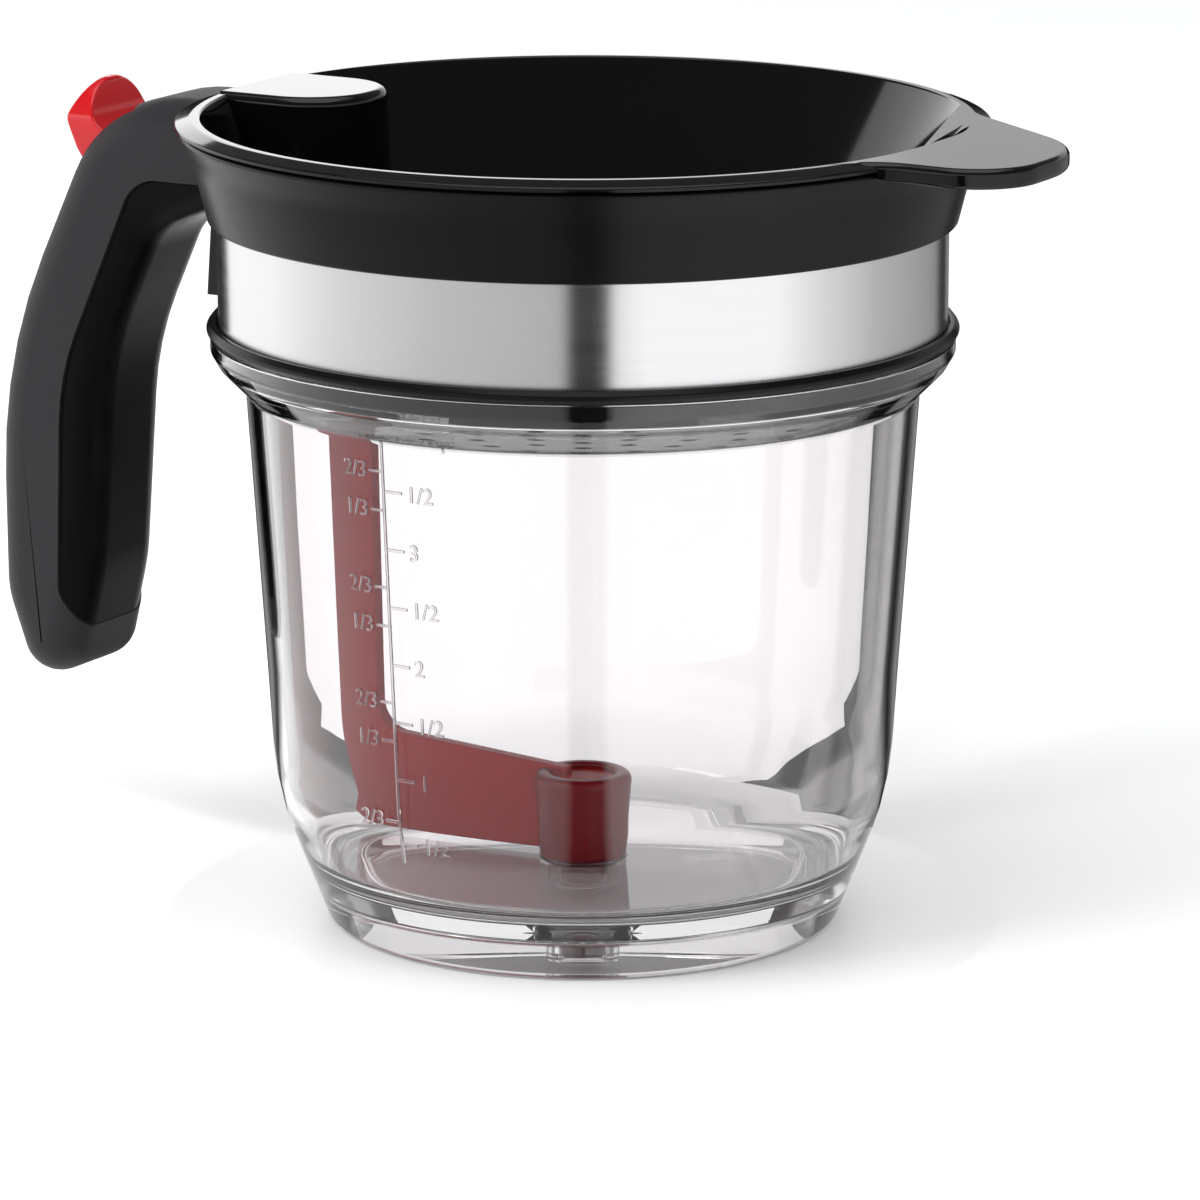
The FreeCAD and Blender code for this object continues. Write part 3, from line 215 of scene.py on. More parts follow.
def as_object(name, bm):
    """A mesh object at the origin."""
    mesh = bpy.data.meshes.new(name)
    bm.to_mesh(mesh)
    bm.free()
    piece = bpy.data.objects.new(name, mesh)
    bpy.context.scene.collection.objects.link(piece)
    return piece


def keep_result(piece):
    """Make what the modifiers give the piece's own mesh."""
    graph = bpy.context.evaluated_depsgraph_get()
    mesh = bpy.data.meshes.new_from_object(piece.evaluated_get(graph))
    piece.modifiers.clear()
    piece.data = mesh


def combine(piece, tool, operation):
    """Join, cut or trim a piece with a second mesh, which is then thrown away."""
    other = as_object("tool", tool) if isinstance(tool, bmesh.types.BMesh) else tool
    step = piece.modifiers.new("Combine", "BOOLEAN")
    step.operation = operation
    step.solver = "EXACT"
    step.object = other
    keep_result(piece)
    bpy.data.objects.remove(other)


def finish_shading(piece):
    """Smooth shading that keeps flat faces flat and sharp edges sharp."""
    mesh = piece.data
    mesh.polygons.foreach_set("use_smooth", [True] * len(mesh.polygons))
    mesh.set_sharp_from_angle(angle=SHARP_LIMIT)
    step = piece.modifiers.new("Normals", "WEIGHTED_NORMAL")
    step.keep_sharp = True
    step.weight = 100
    keep_result(piece)


def dress(piece, material, body, slot, *nodes):
    """Give a finished piece its material and body, and hide the nodes it stands for; the slot
    argument is not used.
    """
    finish_shading(piece)
    piece.data.materials.clear()
    piece.data.materials.append(material)
    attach(piece, body)
    if nodes:
        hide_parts(*nodes)
    count = sum(len(face.vertices) - 2 for face in piece.data.polygons)
    print(f"{piece.name}: {count} triangles")


print("edges stay sharp above", round(math.degrees(SHARP_LIMIT)), "degrees")

# %% [markdown]
# ## Materials: colour and one node helper
#
# Colours are picked as sRGB hex values, the way a paint chart or a screen shows
# them, and Blender wants linear light, so one function turns them.  One small
# helper adds a node with its settings and its links.

# %% Colour and nodes
def linear(hex_colour):
    """An sRGB colour such as #c8121c as linear red, green, blue and alpha."""
    parts = [int(hex_colour[i:i + 2], 16) / 255 for i in (1, 3, 5)]
    return (*[p / 12.92 if p <= 0.04045 else ((p + 0.055) / 1.055) ** 2.4 for p in parts], 1)


def new_material(name):
    """A material with an empty node tree, and that tree."""
    material = bpy.data.materials.new(name)
    material.use_nodes = True
    material.node_tree.nodes.clear()
    return material, material.node_tree


def add(tree, kind, inputs=None, **settings):
    """Add a node.  An input that is given a socket is linked, any other value is set."""
    node = tree.nodes.new(kind)
    for name, value in settings.items():
        setattr(node, name, value)
    for name, value in (inputs or {}).items():
        if isinstance(value, bpy.types.NodeSocket):
            tree.links.new(value, node.inputs[name])
        else:
            node.inputs[name].default_value = value
    return node


def output(tree, shader):
    """End a tree in the surface output."""
    add(tree, "ShaderNodeOutputMaterial", {"Surface": shader.outputs[0]})


def grain(tree, size_mm, detail=2.0, stretch=(1, 1, 1)):
    """Noise on Object coordinates whose lumps are about this many millimetres apart."""
    where = add(tree, "ShaderNodeTexCoord")
    scaled = add(tree, "ShaderNodeMapping", {"Vector": where.outputs["Object"], "Scale": stretch})
    return add(tree, "ShaderNodeTexNoise", {
        "Vector": scaled.outputs[0], "Scale": 1 / (size_mm * MM), "Detail": detail,
    })


def between(tree, noise, low, high):
    """Spread a noise, which seldom leaves 0.3 to 0.7, between two values."""
    return add(tree, "ShaderNodeMapRange", {
        "Value": noise.outputs[0], "From Min": 0.3, "From Max": 0.7, "To Min": low, "To Max": high,
    })


def bump(tree, noise, depth_mm):
    """Bump of a real depth."""
    return add(tree, "ShaderNodeBump", {
        "Height": noise.outputs[0], "Distance": depth_mm * MM, "Strength": 1.0,
    })


def tint(tree, noise, colour, other):
    """A colour that drifts a little between two close shades."""
    mix = add(tree, "ShaderNodeMix", data_type="RGBA")
    tree.links.new(noise.outputs[0], mix.inputs[0])
    mix.inputs[6].default_value = linear(colour)
    mix.inputs[7].default_value = linear(other)
    return mix.outputs[2]


print("mid grey #808080 in linear light:", round(linear("#808080")[0], 3))

# %% [markdown]
# ## Moulded black plastics
#
# The collar, ring and handle core are moulded ABS from a lightly etched mould:
# satin black, with a grain too fine to see as dots that only spreads highlights.
# The strainer lid comes from a polished mould, so it is glossy, and slow ripples
# of shrinkage bend its reflections a little.

# %% Black plastics
def moulded(
    name, colour, other, rough, shine, grain_mm, grain_depth, ripple_mm=14, ripple_depth=0.01,
):
    """Injection moulded plastic: slow ripple, fine mould grain, a slight drift of gloss."""
    material, tree = new_material(name)
    fine = grain(tree, grain_mm, 3)
    slow = grain(tree, ripple_mm, 1)
    waves = bump(tree, slow, ripple_depth)
    surface = bump(tree, fine, grain_depth)
    tree.links.new(waves.outputs[0], surface.inputs["Normal"])
    gloss = between(tree, slow, rough * 0.88, rough * 1.12)
    shader = add(tree, "ShaderNodeBsdfPrincipled", {
        "Base Color": tint(tree, slow, colour, other), "Roughness": gloss.outputs[0],
        "IOR": 1.53, "Specular IOR Level": shine, "Normal": surface.outputs[0],
    })
    output(tree, shader)
    return material


black_satin = moulded(
    "black_ABS_satin", "#080809", "#0b0b0c",
    rough=0.26, shine=0.16, grain_mm=0.5, grain_depth=0.006,
)
core_satin = moulded(
    "black_ABS_handle_core", "#050506", "#070708",
    rough=0.3, shine=0.06, grain_mm=0.6, grain_depth=0.008,
)
black_gloss = moulded(
    "black_ABS_polished", "#050506", "#070708",
    rough=0.07, shine=0.28, grain_mm=2.5, grain_depth=0.0008, ripple_mm=22, ripple_depth=0.012,
)
print("black plastics:", black_satin.name, core_satin.name, black_gloss.name)

# %% [markdown]
# ## Soft-touch grip
#
# The grip is overmoulded with a thermoplastic elastomer.  It is a dark warm grey
# rather than black, and nearly matt, because its surface is full of tiny pits.  A
# little sheen brightens it where it turns away.

# %% Soft-touch elastomer
def soft_touch_elastomer():
    """Matt thermoplastic elastomer with fine pits."""
    material, tree = new_material("soft_touch_elastomer")
    pits = grain(tree, 0.35, 4)
    cloud = grain(tree, 18, 2)
    surface = bump(tree, pits, 0.02)
    rough = between(tree, cloud, 0.52, 0.6)
    shader = add(tree, "ShaderNodeBsdfPrincipled", {
        "Base Color": tint(tree, cloud, "#1c1a1d", "#211f22"), "Roughness": rough.outputs[0],
        "IOR": 1.5, "Specular IOR Level": 0.3, "Sheen Weight": 0.04, "Sheen Roughness": 0.4,
        "Normal": surface.outputs[0],
    })
    output(tree, shader)
    return material


soft_touch = soft_touch_elastomer()
print("grip:", soft_touch.name)

# %% [markdown]
# ## Red plastics and the soft plug
#
# The thumb lever is bright red ABS from a polished mould.  The lift arm in the
# jug is the same kind of plastic, seen through the wall; its colour is painted a
# shade darker than the lever's, as painted shade for the dimmer light behind the
# wall.  The plug on its foot is silicone rubber: deep red, softly glossy, and
# light goes a little way into it.

# %% Reds
lever_red = moulded(
    "red_ABS_polished", "#a8020c", "#b20610",
    rough=0.16, shine=0.5, grain_mm=1.5, grain_depth=0.001,
)
# Painted shade: this red is a shade darker than the lever's, for the dimmer light behind the jug's
# wall.
arm_red_painted_shade = moulded(
    "red_ABS_lift_arm_painted_shade", "#a8000e", "#b00212",
    rough=0.24, shine=0.15, grain_mm=0.9, grain_depth=0.003,
)


def silicone(name, colour, other, rough, glow):
    """Silicone rubber: soft gloss, with some light passing under the skin."""
    material, tree = new_material(name)
    cloud = grain(tree, 6, 2)
    surface = bump(tree, grain(tree, 0.8, 2), 0.004)
    shader = add(tree, "ShaderNodeBsdfPrincipled", {
        "Base Color": tint(tree, cloud, colour, other), "Roughness": rough, "IOR": 1.41,
        "Subsurface Weight": glow, "Subsurface Scale": 1.5 * MM, "Normal": surface.outputs[0],
    })
    output(tree, shader)
    return material


plug_red = silicone("red_silicone", "#7c0413", "#860617", rough=0.3, glow=0.1)
seal_white = silicone("clear_silicone_seal", "#c9cbcb", "#d2d4d4", rough=0.35, glow=0.4)
print("reds:", lever_red.name, arm_red_painted_shade.name, plug_red.name)

# %% [markdown]
# ## Clear jug plastic
#
# The jug is injection moulded copolyester, which bends light much as glass does:
# its refractive index is about 1.54.  Water-clear plastic has no colour of its
# own.  What shows is the dark and light that its thick base and shoulder bend
# towards the eye, and a very slow ripple where the plastic shrank in the mould.

# %% Clear copolyester
def clear_copolyester(name, rough, ripple):
    """Water-clear moulded copolyester."""
    material, tree = new_material(name)
    slow = grain(tree, 40, 0)
    surface = bump(tree, slow, ripple)
    shader = add(tree, "ShaderNodeBsdfPrincipled", {
        "Base Color": linear("#f4f2f3"), "Roughness": rough, "IOR": 1.54,
        "Specular IOR Level": 0.18, "Transmission Weight": 1.0, "Normal": surface.outputs[0],
    })
    output(tree, shader)
    return material


jug_clear = clear_copolyester("clear_copolyester", rough=0.0, ripple=0.02)
marks_clear = clear_copolyester("clear_copolyester_marks", rough=0.12, ripple=0.0)
print("clear plastics:", jug_clear.name, marks_clear.name)

# %% [markdown]
# ## Brushed steel band
#
# The band is stainless sheet, brushed along its length before it was rolled to a
# ring.  The scratches run round the jug.  They spread a highlight up and down
# but hardly sideways, so the edges of a light stay crisp across the band.  That
# is what the anisotropy and the radial tangent say, and noise that is stretched
# round the ring draws the lines themselves.

# %% Steel
def brushed_band():
    """Stainless sheet with scratches round the jug's axis."""
    material, tree = new_material("stainless_brushed_round")
    line_pitch_mm = 0.25  # real scratches lie closer, but would be too fine to show
    lines = grain(tree, line_pitch_mm, 2, (0.004, 0.004, 1))
    fine = bump(tree, lines, 0.002)
    cloud = grain(tree, 30, 2)
    rough = between(tree, lines, 0.2, 0.26)
    along = add(tree, "ShaderNodeTangent", direction_type="RADIAL", axis="Z")
    shader = add(tree, "ShaderNodeBsdfPrincipled", {
        "Base Color": tint(tree, cloud, "#d8d8da", "#dcdcdd"), "Metallic": 1.0,
        "Roughness": rough.outputs[0], "Anisotropic": 0.9, "Anisotropic Rotation": 0.25,
        "Tangent": along.outputs[0], "Normal": fine.outputs[0],
    })
    output(tree, shader)
    return material


def plain_steel():
    """Bright zinc-plated or drawn steel of pins, screws and springs."""
    material, tree = new_material("plain_steel")
    cloud = grain(tree, 1.2, 3)
    rough = between(tree, cloud, 0.26, 0.4)
    shader = add(tree, "ShaderNodeBsdfPrincipled", {
        "Base Color": tint(tree, cloud, "#b4b4b6", "#bdbdbe"), "Metallic": 1.0,
        "Roughness": rough.outputs[0], "Normal": bump(tree, cloud, 0.003).outputs[0],
    })
    output(tree, shader)
    return material


steel_round = brushed_band()
steel_plain = plain_steel()
print("steels:", steel_round.name, steel_plain.name)

# %% [markdown]
# ## The jug
#
# The jug is one moulding: a tapered wall, a thick clear base with a foot ring, an
# outlet in the middle of the floor, and a neck for the collar.  Round the neck
# stands a clear lip.  The collar's black sleeve sits in the groove behind it and
# shows dark through the lip.
#
# It is a body of revolution, so its half profile is drawn once, inside and
# outside together, and spun.  The wall's thickness is then real, which clear
# plastic needs: light bends once on the way in and once on the way out.

# %% Jug
JUG_WALL = 2.4
FOOT_RADIUS = 48.7
FLARE_RADIUS = 58.6
FLARE_HEIGHT = 25.1
WALL_RADIUS = 63.8
SHOULDER_HEIGHT = 103
FLOOR_TOP = 11.5
FLOOR_LOW = 8.3
NECK_BORE = 63
NECK_RADIUS = 65.5
NECK_TOP = 127
LIP_RADIUS = 70.4
LIP_TOP = 113.3
GROOVE_RADIUS = 68.35
GROOVE_LOW = 108.9
OUTLET_RADIUS = 4.6
SPOUT_RADIUS = 6.8
SPOUT_END = 1.5
FOOT_BORE = 43.2

floor_edge = FOOT_RADIUS - JUG_WALL + (FLARE_RADIUS - FOOT_RADIUS) * FLOOR_TOP / FLARE_HEIGHT

jug = as_object("clear_jug", turned([
    (OUTLET_RADIUS, SPOUT_END, 0.4),
    (SPOUT_RADIUS, SPOUT_END, 0.4),
    (SPOUT_RADIUS, FLOOR_LOW, 1.5),
    (FOOT_BORE, FLOOR_LOW, 1.5),
    (FOOT_BORE, 0, 1),
    (FOOT_RADIUS, 0, 2.6),
    (FLARE_RADIUS, FLARE_HEIGHT, 60),
    (WALL_RADIUS, SHOULDER_HEIGHT, 1.5),
    (68.8, 108.1, 0.8),
    (LIP_RADIUS, 110.8, 0.8),
    (LIP_RADIUS, LIP_TOP, 0.3),
    (GROOVE_RADIUS, LIP_TOP, 0.3),
    (GROOVE_RADIUS, GROOVE_LOW, 0.2),
    (NECK_RADIUS, GROOVE_LOW, 0.2),
    (NECK_RADIUS, NECK_TOP, 0.4),
    (NECK_BORE, NECK_TOP, 0.4),
    (NECK_BORE, 108, 3),
    (WALL_RADIUS - JUG_WALL, SHOULDER_HEIGHT, 3),
    (FLARE_RADIUS - JUG_WALL, FLARE_HEIGHT, 36),
    (floor_edge, FLOOR_TOP, 7),
    (8.5, FLOOR_TOP, 0.5),
    (OUTLET_RADIUS, 7, 0.5),
]))
dress(jug, jug_clear, "vessel", "clear_plastic", "jug")

# %% [markdown]
# ## Scale marks
#
# A line, ticks and numbers stand a third of a millimetre proud of the wall: half
# cups on the right of the line and thirds of a cup on the left.  They are drawn
# flat, text made into a mesh first, and then wrapped round the tapered wall,
# where across becomes an angle and up stays up.

# %% Scale marks
MARK_PROUD = 0.3
MARK_ROOT = 0.08
MARK_ANGLE = math.radians(-95)
CUP_LOW = 38.7
CUP_STEP = 22.03
HALF_CUP = 26.4
TWO_THIRDS = 30.4
LETTER = 4.4


def wall_at(height):
    """Outside radius of the jug's wall at a height."""
    if height < FLARE_HEIGHT:
        return FOOT_RADIUS + (FLARE_RADIUS - FOOT_RADIUS) * height / FLARE_HEIGHT
    rise = (height - FLARE_HEIGHT) / (SHOULDER_HEIGHT - FLARE_HEIGHT)
    return FLARE_RADIUS + (WALL_RADIUS - FLARE_RADIUS) * rise


def level(cups):
    """Height of a mark above the table."""
    return HALF_CUP if cups == 0.5 else CUP_LOW + CUP_STEP * (cups - 1)


def bar(bm, left, right, low, high):
    """A flat raised bar, divided so that it can bend round the wall."""
    made = bmesh.ops.create_grid(bm, x_segments=3, y_segments=8, size=0.5)["verts"]
    bmesh.ops.scale(bm, verts=made, vec=(right - left, high - low, 1))
    bmesh.ops.translate(bm, verts=made, vec=((left + right) / 2, (low + high) / 2, 0))
    faces = list({face for vert in made for face in vert.link_faces})
    top = bmesh.ops.extrude_face_region(bm, geom=faces, use_keep_orig=True)["geom"]
    lifted = [item for item in top if isinstance(item, bmesh.types.BMVert)]
    bmesh.ops.translate(bm, verts=lifted, vec=(0, 0, MARK_PROUD + MARK_ROOT))


def lettering(bm, words, start, middle):
    """Raised characters, drawn flat, made a mesh and added to the bmesh."""
    text = bpy.data.curves.new("words", "FONT")
    text.body = words
    text.size = LETTER
    text.extrude = (MARK_PROUD + MARK_ROOT) / 2
    text.resolution_u = 3
    text.align_x = "LEFT" if start >= 0 else "RIGHT"
    writing = bpy.data.objects.new("words", text)
    bpy.context.scene.collection.objects.link(writing)
    bpy.context.view_layer.update()
    mesh = writing.to_mesh()
    half_letter = LETTER * 0.34
    raised = Matrix.Translation((start, middle - half_letter, (MARK_PROUD + MARK_ROOT) / 2))
    mesh.transform(raised)
    bm.from_mesh(mesh)
    writing.to_mesh_clear()
    bpy.data.objects.remove(writing)


def wrap_round_wall(bm):
    """Bend the flat drawing round the jug."""
    for vert in bm.verts:
        across, up, out = vert.co
        radius = wall_at(up) - MARK_ROOT + out
        angle = MARK_ANGLE + across / wall_at(up)
        vert.co = Vector((radius * math.cos(angle), radius * math.sin(angle), up)) * MM


print("cup marks at", [round(level(cups), 1) for cups in (1, 2, 3, 4)], "mm")

# %% [markdown]
# The cup marks are evenly spaced.  Near the floor the jug narrows, so the two
# lowest marks have heights of their own.

# %% The scale
LINE_HALF = 0.25
TICK_RIGHT, WORDS_RIGHT = 4, 5
TICK_LEFT, WORDS_LEFT = -3, -3.6

marks = bmesh.new()
bar(marks, -LINE_HALF, LINE_HALF, HALF_CUP - 4, level(4) - 1)
for halves in range(1, 9):
    cups = halves / 2
    height = level(cups)
    bar(marks, LINE_HALF, TICK_RIGHT, height - LINE_HALF, height + LINE_HALF)
    words = "1/2" if halves % 2 else "4 cups" if cups == 4 else str(int(cups))
    lettering(marks, words, WORDS_RIGHT, height)
for thirds in range(2, 12):
    if thirds % 3:
        height = TWO_THIRDS if thirds == 2 else level(thirds / 3)
        bar(marks, TICK_LEFT, -LINE_HALF, height - LINE_HALF, height + LINE_HALF)
        lettering(marks, f"{thirds % 3}/3", WORDS_LEFT, height)
wrap_round_wall(marks)
tidy(marks)
scale_marks = as_object("scale_marks", marks)
dress(scale_marks, marks_clear, "vessel", "clear_plastic")

# %% [markdown]
# ## Collar, steel band and lower ring
#
# The collar is a black moulding that grips the jug's neck and flares out into a
# skirt.  A plain steel band lies round its sleeve, tucked behind the skirt above
# and behind the lip of the lower ring below.  All three are turned profiles.  The
# slot for the lever's arm and the seats of the two handle screws are then cut
# through the back of the collar.

# %% Collar, band and ring
SLEEVE_BORE = 65.7
SLEEVE = 68.2
SLEEVE_LOW = 109.1
SKIRT_LOW = 135.4
BAND_LOW = 114.6
BAND_TOP = 137.4
LIP_INNER = 69.3
RING_TOP = 116.1
COLLAR_TOP = 152.6
SLOT_HALF = 4.7
SLOT_LOW, SLOT_HIGH = 139.2, 150.4
BACK, INSIDE = -90, -50

collar = as_object("collar_moulding", turned([
    (SLEEVE_BORE, SLEEVE_LOW),
    (SLEEVE, SLEEVE_LOW),
    (SLEEVE, BAND_TOP),
    (LIP_INNER, BAND_TOP),
    (LIP_INNER, SKIRT_LOW, 0.3),
    (70.6, SKIRT_LOW, 0.7),
    (73.6, 147.4, 14),
    (76.2, COLLAR_TOP, 0.6),
    (73.4, COLLAR_TOP, 0.4),
    (66.6, 136, 3),
    (66.6, 130.4, 0.8),
    (64, 130.4, 0.4),
    (64, 128.4),
    (SLEEVE_BORE, 128.4),
]))
combine(collar, slab([
    (BACK, SLOT_LOW), (INSIDE, SLOT_LOW), (INSIDE, SLOT_HIGH), (BACK, SLOT_HIGH),
], SLOT_HALF * 2), "DIFFERENCE")


def rod(radius, low, high, centre_y, centre_z):
    """A round bar along X."""
    bm = bmesh.new()
    made = bmesh.ops.create_cone(
        bm, cap_ends=True, segments=40, radius1=radius * MM, radius2=radius * MM,
        depth=(high - low) * MM,
    )["verts"]
    bmesh.ops.rotate(bm, verts=made, cent=(0, 0, 0), matrix=Matrix.Rotation(math.pi / 2, 3, "Y"))
    bmesh.ops.translate(bm, verts=made, vec=Vector(((low + high) / 2, centre_y, centre_z)) * MM)
    return bm


SCREW_HEIGHT = 144.5
SCREW_SIDE = 7.6
SHANK_HOLE = 1.4
HEAD_HOLE, HEAD_SEAT = 3.1, -71

for side in (-1, 1):
    shank = rod(SHANK_HOLE, BACK, INSIDE, side * SCREW_SIDE, SCREW_HEIGHT)
    combine(collar, shank, "DIFFERENCE")
    head = rod(HEAD_HOLE, HEAD_SEAT, INSIDE, side * SCREW_SIDE, SCREW_HEIGHT)
    combine(collar, head, "DIFFERENCE")
dress(collar, black_satin, "vessel", "black_satin", "collar")

band = as_object("polished_band", turned([
    (68.3, BAND_LOW, 0.1), (68.9, BAND_LOW, 0.2), (68.9, BAND_TOP, 0.2), (68.3, BAND_TOP, 0.1),
]))
dress(band, steel_round, "vessel", "steel", "steel_band")

ring = as_object("lower_lip_ring", turned([
    (SLEEVE + 0.1, 113.4),
    (70.2, 113.4, 0.4),
    (71.3, 114.8, 0.8),
    (70.3, RING_TOP, 0.4),
    (LIP_INNER, RING_TOP, 0.2),
    (LIP_INNER, BAND_LOW),
    (SLEEVE + 0.1, BAND_LOW),
]))
dress(ring, black_satin, "vessel", "black_satin", "band_ring")

# %% [markdown]
# ## Handle
#
# The handle is two mouldings that meet at a seam.  The outer one is the
# soft-touch grip; the inner one, on the fingers' side, is harder plastic and
# stands back a little at the seam.  Both come from one blank, the side view
# pulled out and rounded along its edges, which is cut along the seam.  The
# collar's own outline trims the neck, and a room is cut for the lever.

# %% Handle blank
HANDLE_WIDTH = 28
HANDLE_ROOT = -66
HANDLE_EDGE = 7
CORE_STEP = 0.7
SEAM_GAP = 0.3

HANDLE_SIDE = [
    (HANDLE_ROOT, 152.3),
    (-101.7, 152.3, 27),
    (-127.3, 97.6, 105),
    (-126.8, 50.5, 20),
    (-120.9, 34.6, 7.2),
    (-110.2, 34.6, 7.2),
    (-105, 56, 40),
    (-101.8, 100, 60),
    (-90, 126, 12),
    (HANDLE_ROOT, 136),
]


def handle_blank(width):
    """The whole handle with its long edges rounded."""
    bm = slab(HANDLE_SIDE, width)

    def long_edge(edge):
        first, last = (vert.co for vert in edge.verts)
        across = abs(first.y - last.y) > WELD
        at_root = min(first.x, last.x) > HANDLE_ROOT * MM - WELD
        return not across and not at_root

    soften(bm, HANDLE_EDGE, long_edge, 9)
    return bm


def seam_line(back):
    """Corners of the seam, moved towards the fingers by this much."""
    return [
        (HANDLE_ROOT + 3, 136.6 - back),
        (-92.5 + back, 136.6 - back, 8),
        (-110.5 + back, 96, 50),
        (-111.8 + back, 52, 6),
        (-107.6 + back, 44),
        (-97.6 + back, 39),
    ]


def collar_room():
    """What the collar takes up, with a hair of room round it."""
    return turned([
        (0, 100), (71.3, 100), (71.3, 135.1), (70.65, 135.4), (73.65, 147.4, 14),
        (76.25, 152.6), (76.25, 160), (0, 160),
    ])


print("handle blank:", HANDLE_WIDTH, "mm wide, with a seam gap of", SEAM_GAP)

# %% [markdown]
# The grip keeps what lies behind the seam, and the core what lies before it.  The
# core's two cheeks stand up inside the grip and carry the lever's pin.

# %% Grip and core
BEHIND, ABOVE, BELOW = -140, 160, 20
CHEEK_REAR, CHEEK_TOP, CHEEK_HALF = -90.5, 149.5, 10.5
CHEEK_GAP = 0.1
THROUGH = HANDLE_WIDTH + 4  # wider than the handle
PADDLE_ROOM = 21.2

grip = as_object("soft_grip", handle_blank(HANDLE_WIDTH))
combine(grip, slab(seam_line(0) + [(HANDLE_ROOT + 3, 39)], THROUGH), "DIFFERENCE")
combine(grip, collar_room(), "DIFFERENCE")
combine(grip, slab([
    (CHEEK_REAR - CHEEK_GAP, 131.6),
    (-61, 131.6),
    (-61, CHEEK_TOP + CHEEK_GAP),
    (CHEEK_REAR - CHEEK_GAP, CHEEK_TOP + CHEEK_GAP),
], (CHEEK_HALF + CHEEK_GAP) * 2), "DIFFERENCE")
combine(grip, slab([
    (CHEEK_REAR, 132.6), (CHEEK_REAR, CHEEK_TOP), (-94.5, CHEEK_TOP), (-94.5, ABOVE),
    (BEHIND, ABOVE), (BEHIND, 135.4), (-107.9, 135.4), (-106.4, 132.6),
], PADDLE_ROOM), "DIFFERENCE")
dress(grip, soft_touch, "vessel", "soft_touch", "handle_grip")

core = as_object("hard_core", handle_blank(HANDLE_WIDTH - CORE_STEP * 2))
combine(core, slab(seam_line(SEAM_GAP) + [
    (-97.6, BELOW), (BEHIND, BELOW), (BEHIND, ABOVE), (HANDLE_ROOT + 3, ABOVE),
], THROUGH), "DIFFERENCE")
combine(core, slab([
    (CHEEK_REAR, 134.6), (HANDLE_ROOT, 134.6), (HANDLE_ROOT, CHEEK_TOP), (CHEEK_REAR, CHEEK_TOP),
], CHEEK_HALF * 2), "UNION")
combine(core, slab([
    (-96, 136.6), (-61, 136.6), (-61, ABOVE), (-96, ABOVE),
], SLOT_HALF * 2), "DIFFERENCE")
combine(core, collar_room(), "DIFFERENCE")
dress(core, core_satin, "vessel", "black_satin", "handle_core")

# %% [markdown]
# ## Thumb lever
#
# The lever is one red moulding.  Its paddle stands up behind the grip's crown and
# is scooped for the thumb; its arm runs forward through the collar to a fork and
# a peg that carry the lift arm.  The paddle's side view gives the scoop, and a
# second outline, seen from behind, rounds its two upper corners.

# %% Lever
PADDLE_HALF = 10
PADDLE_LOW, PADDLE_CREST = 136.8, 153.8

lever = as_object("thumb_lever", slab([
    (-92.5, PADDLE_LOW, 0.8),
    (-92.5, 143, 0.4),
    (-99.5, 143, 5),
    (-104.6, 146.2, 6),
    (-106.2, PADDLE_CREST, 0.6),
    (-107.6, PADDLE_CREST, 0.6),
    (-110.9, 146.8, 2.5),
    (-108.2, 140.6, 5),
    (-105.6, PADDLE_LOW, 0.8),
], PADDLE_HALF * 2))


def seen_from_behind(y, z):
    """A place in the view along X, just before the paddle."""
    return Vector((-88, y, z)) * MM


PADDLE_CORNER = 9.5

arch = bmesh.new()
arch_face = outline(arch, [
    (-PADDLE_HALF, 130),
    (PADDLE_HALF, 130),
    (PADDLE_HALF, PADDLE_CREST, PADDLE_CORNER),
    (-PADDLE_HALF, PADDLE_CREST, PADDLE_CORNER),
], seen_from_behind)
pull(arch, arch_face, (-30 * MM, 0, 0))
tidy(arch)
combine(lever, arch, "INTERSECT")


def round_sharp_edges(piece, radius):
    """Break the sharp edges of a boolean's result with a small rounding."""
    bm = bmesh.new()
    bm.from_mesh(piece.data)
    bmesh.ops.dissolve_limit(bm, angle_limit=math.radians(0.2), verts=bm.verts, edges=bm.edges)
    soften(bm, radius, sharp, 3)
    tidy(bm)
    bm.to_mesh(piece.data)
    bm.free()


round_sharp_edges(lever, 0.5)
print("paddle:", len(lever.data.polygons), "faces")

# %% [markdown]
# The arm is joined to the paddle, split into a fork, and crossed by the peg.  The
# bore for the pin goes through last.

# %% Arm, fork, peg and bore
ARM_WIDTH = 8
FORK_END, FORK_GAP = -59.5, 3.8
PEG_RADIUS, PEG_X, PEG_HEIGHT = 1.8, -53, 140
PIN_BORE, PIN_X, PIN_HEIGHT = 1.55, -86, 143.5

combine(lever, slab([
    (-50.2, 137.9, 0.8), (FORK_END, 137.9), (-62, 139.9), (-77, 139.9), (-81.3, 138.8),
    (-94, 138.8), (-94, 143), (-90.7, 148.2, 1.5), (-81.3, 148.2, 3), (-77, 146.6),
    (-62, 144.6), (FORK_END, 142.1), (-50.2, 142.1, 0.8),
], ARM_WIDTH), "UNION")
combine(lever, slab([
    (FORK_END, 130), (-45, 130), (-45, 150), (FORK_END, 150),
], FORK_GAP), "DIFFERENCE")


def cross_rod(radius, x, z, width):
    """A round bar along Y."""
    bm = bmesh.new()
    made = bmesh.ops.create_cone(
        bm, cap_ends=True, segments=48, radius1=radius * MM, radius2=radius * MM, depth=width * MM,
    )["verts"]
    bmesh.ops.rotate(bm, verts=made, cent=(0, 0, 0), matrix=Matrix.Rotation(math.pi / 2, 3, "X"))
    bmesh.ops.translate(bm, verts=made, vec=Vector((x, 0, z)) * MM)
    return bm


combine(lever, cross_rod(PEG_RADIUS, PEG_X, PEG_HEIGHT, ARM_WIDTH), "UNION")
combine(lever, cross_rod(PIN_BORE, PIN_X, PIN_HEIGHT, 30), "DIFFERENCE")
dress(lever, lever_red, "lever", "red_plastic", "lever")

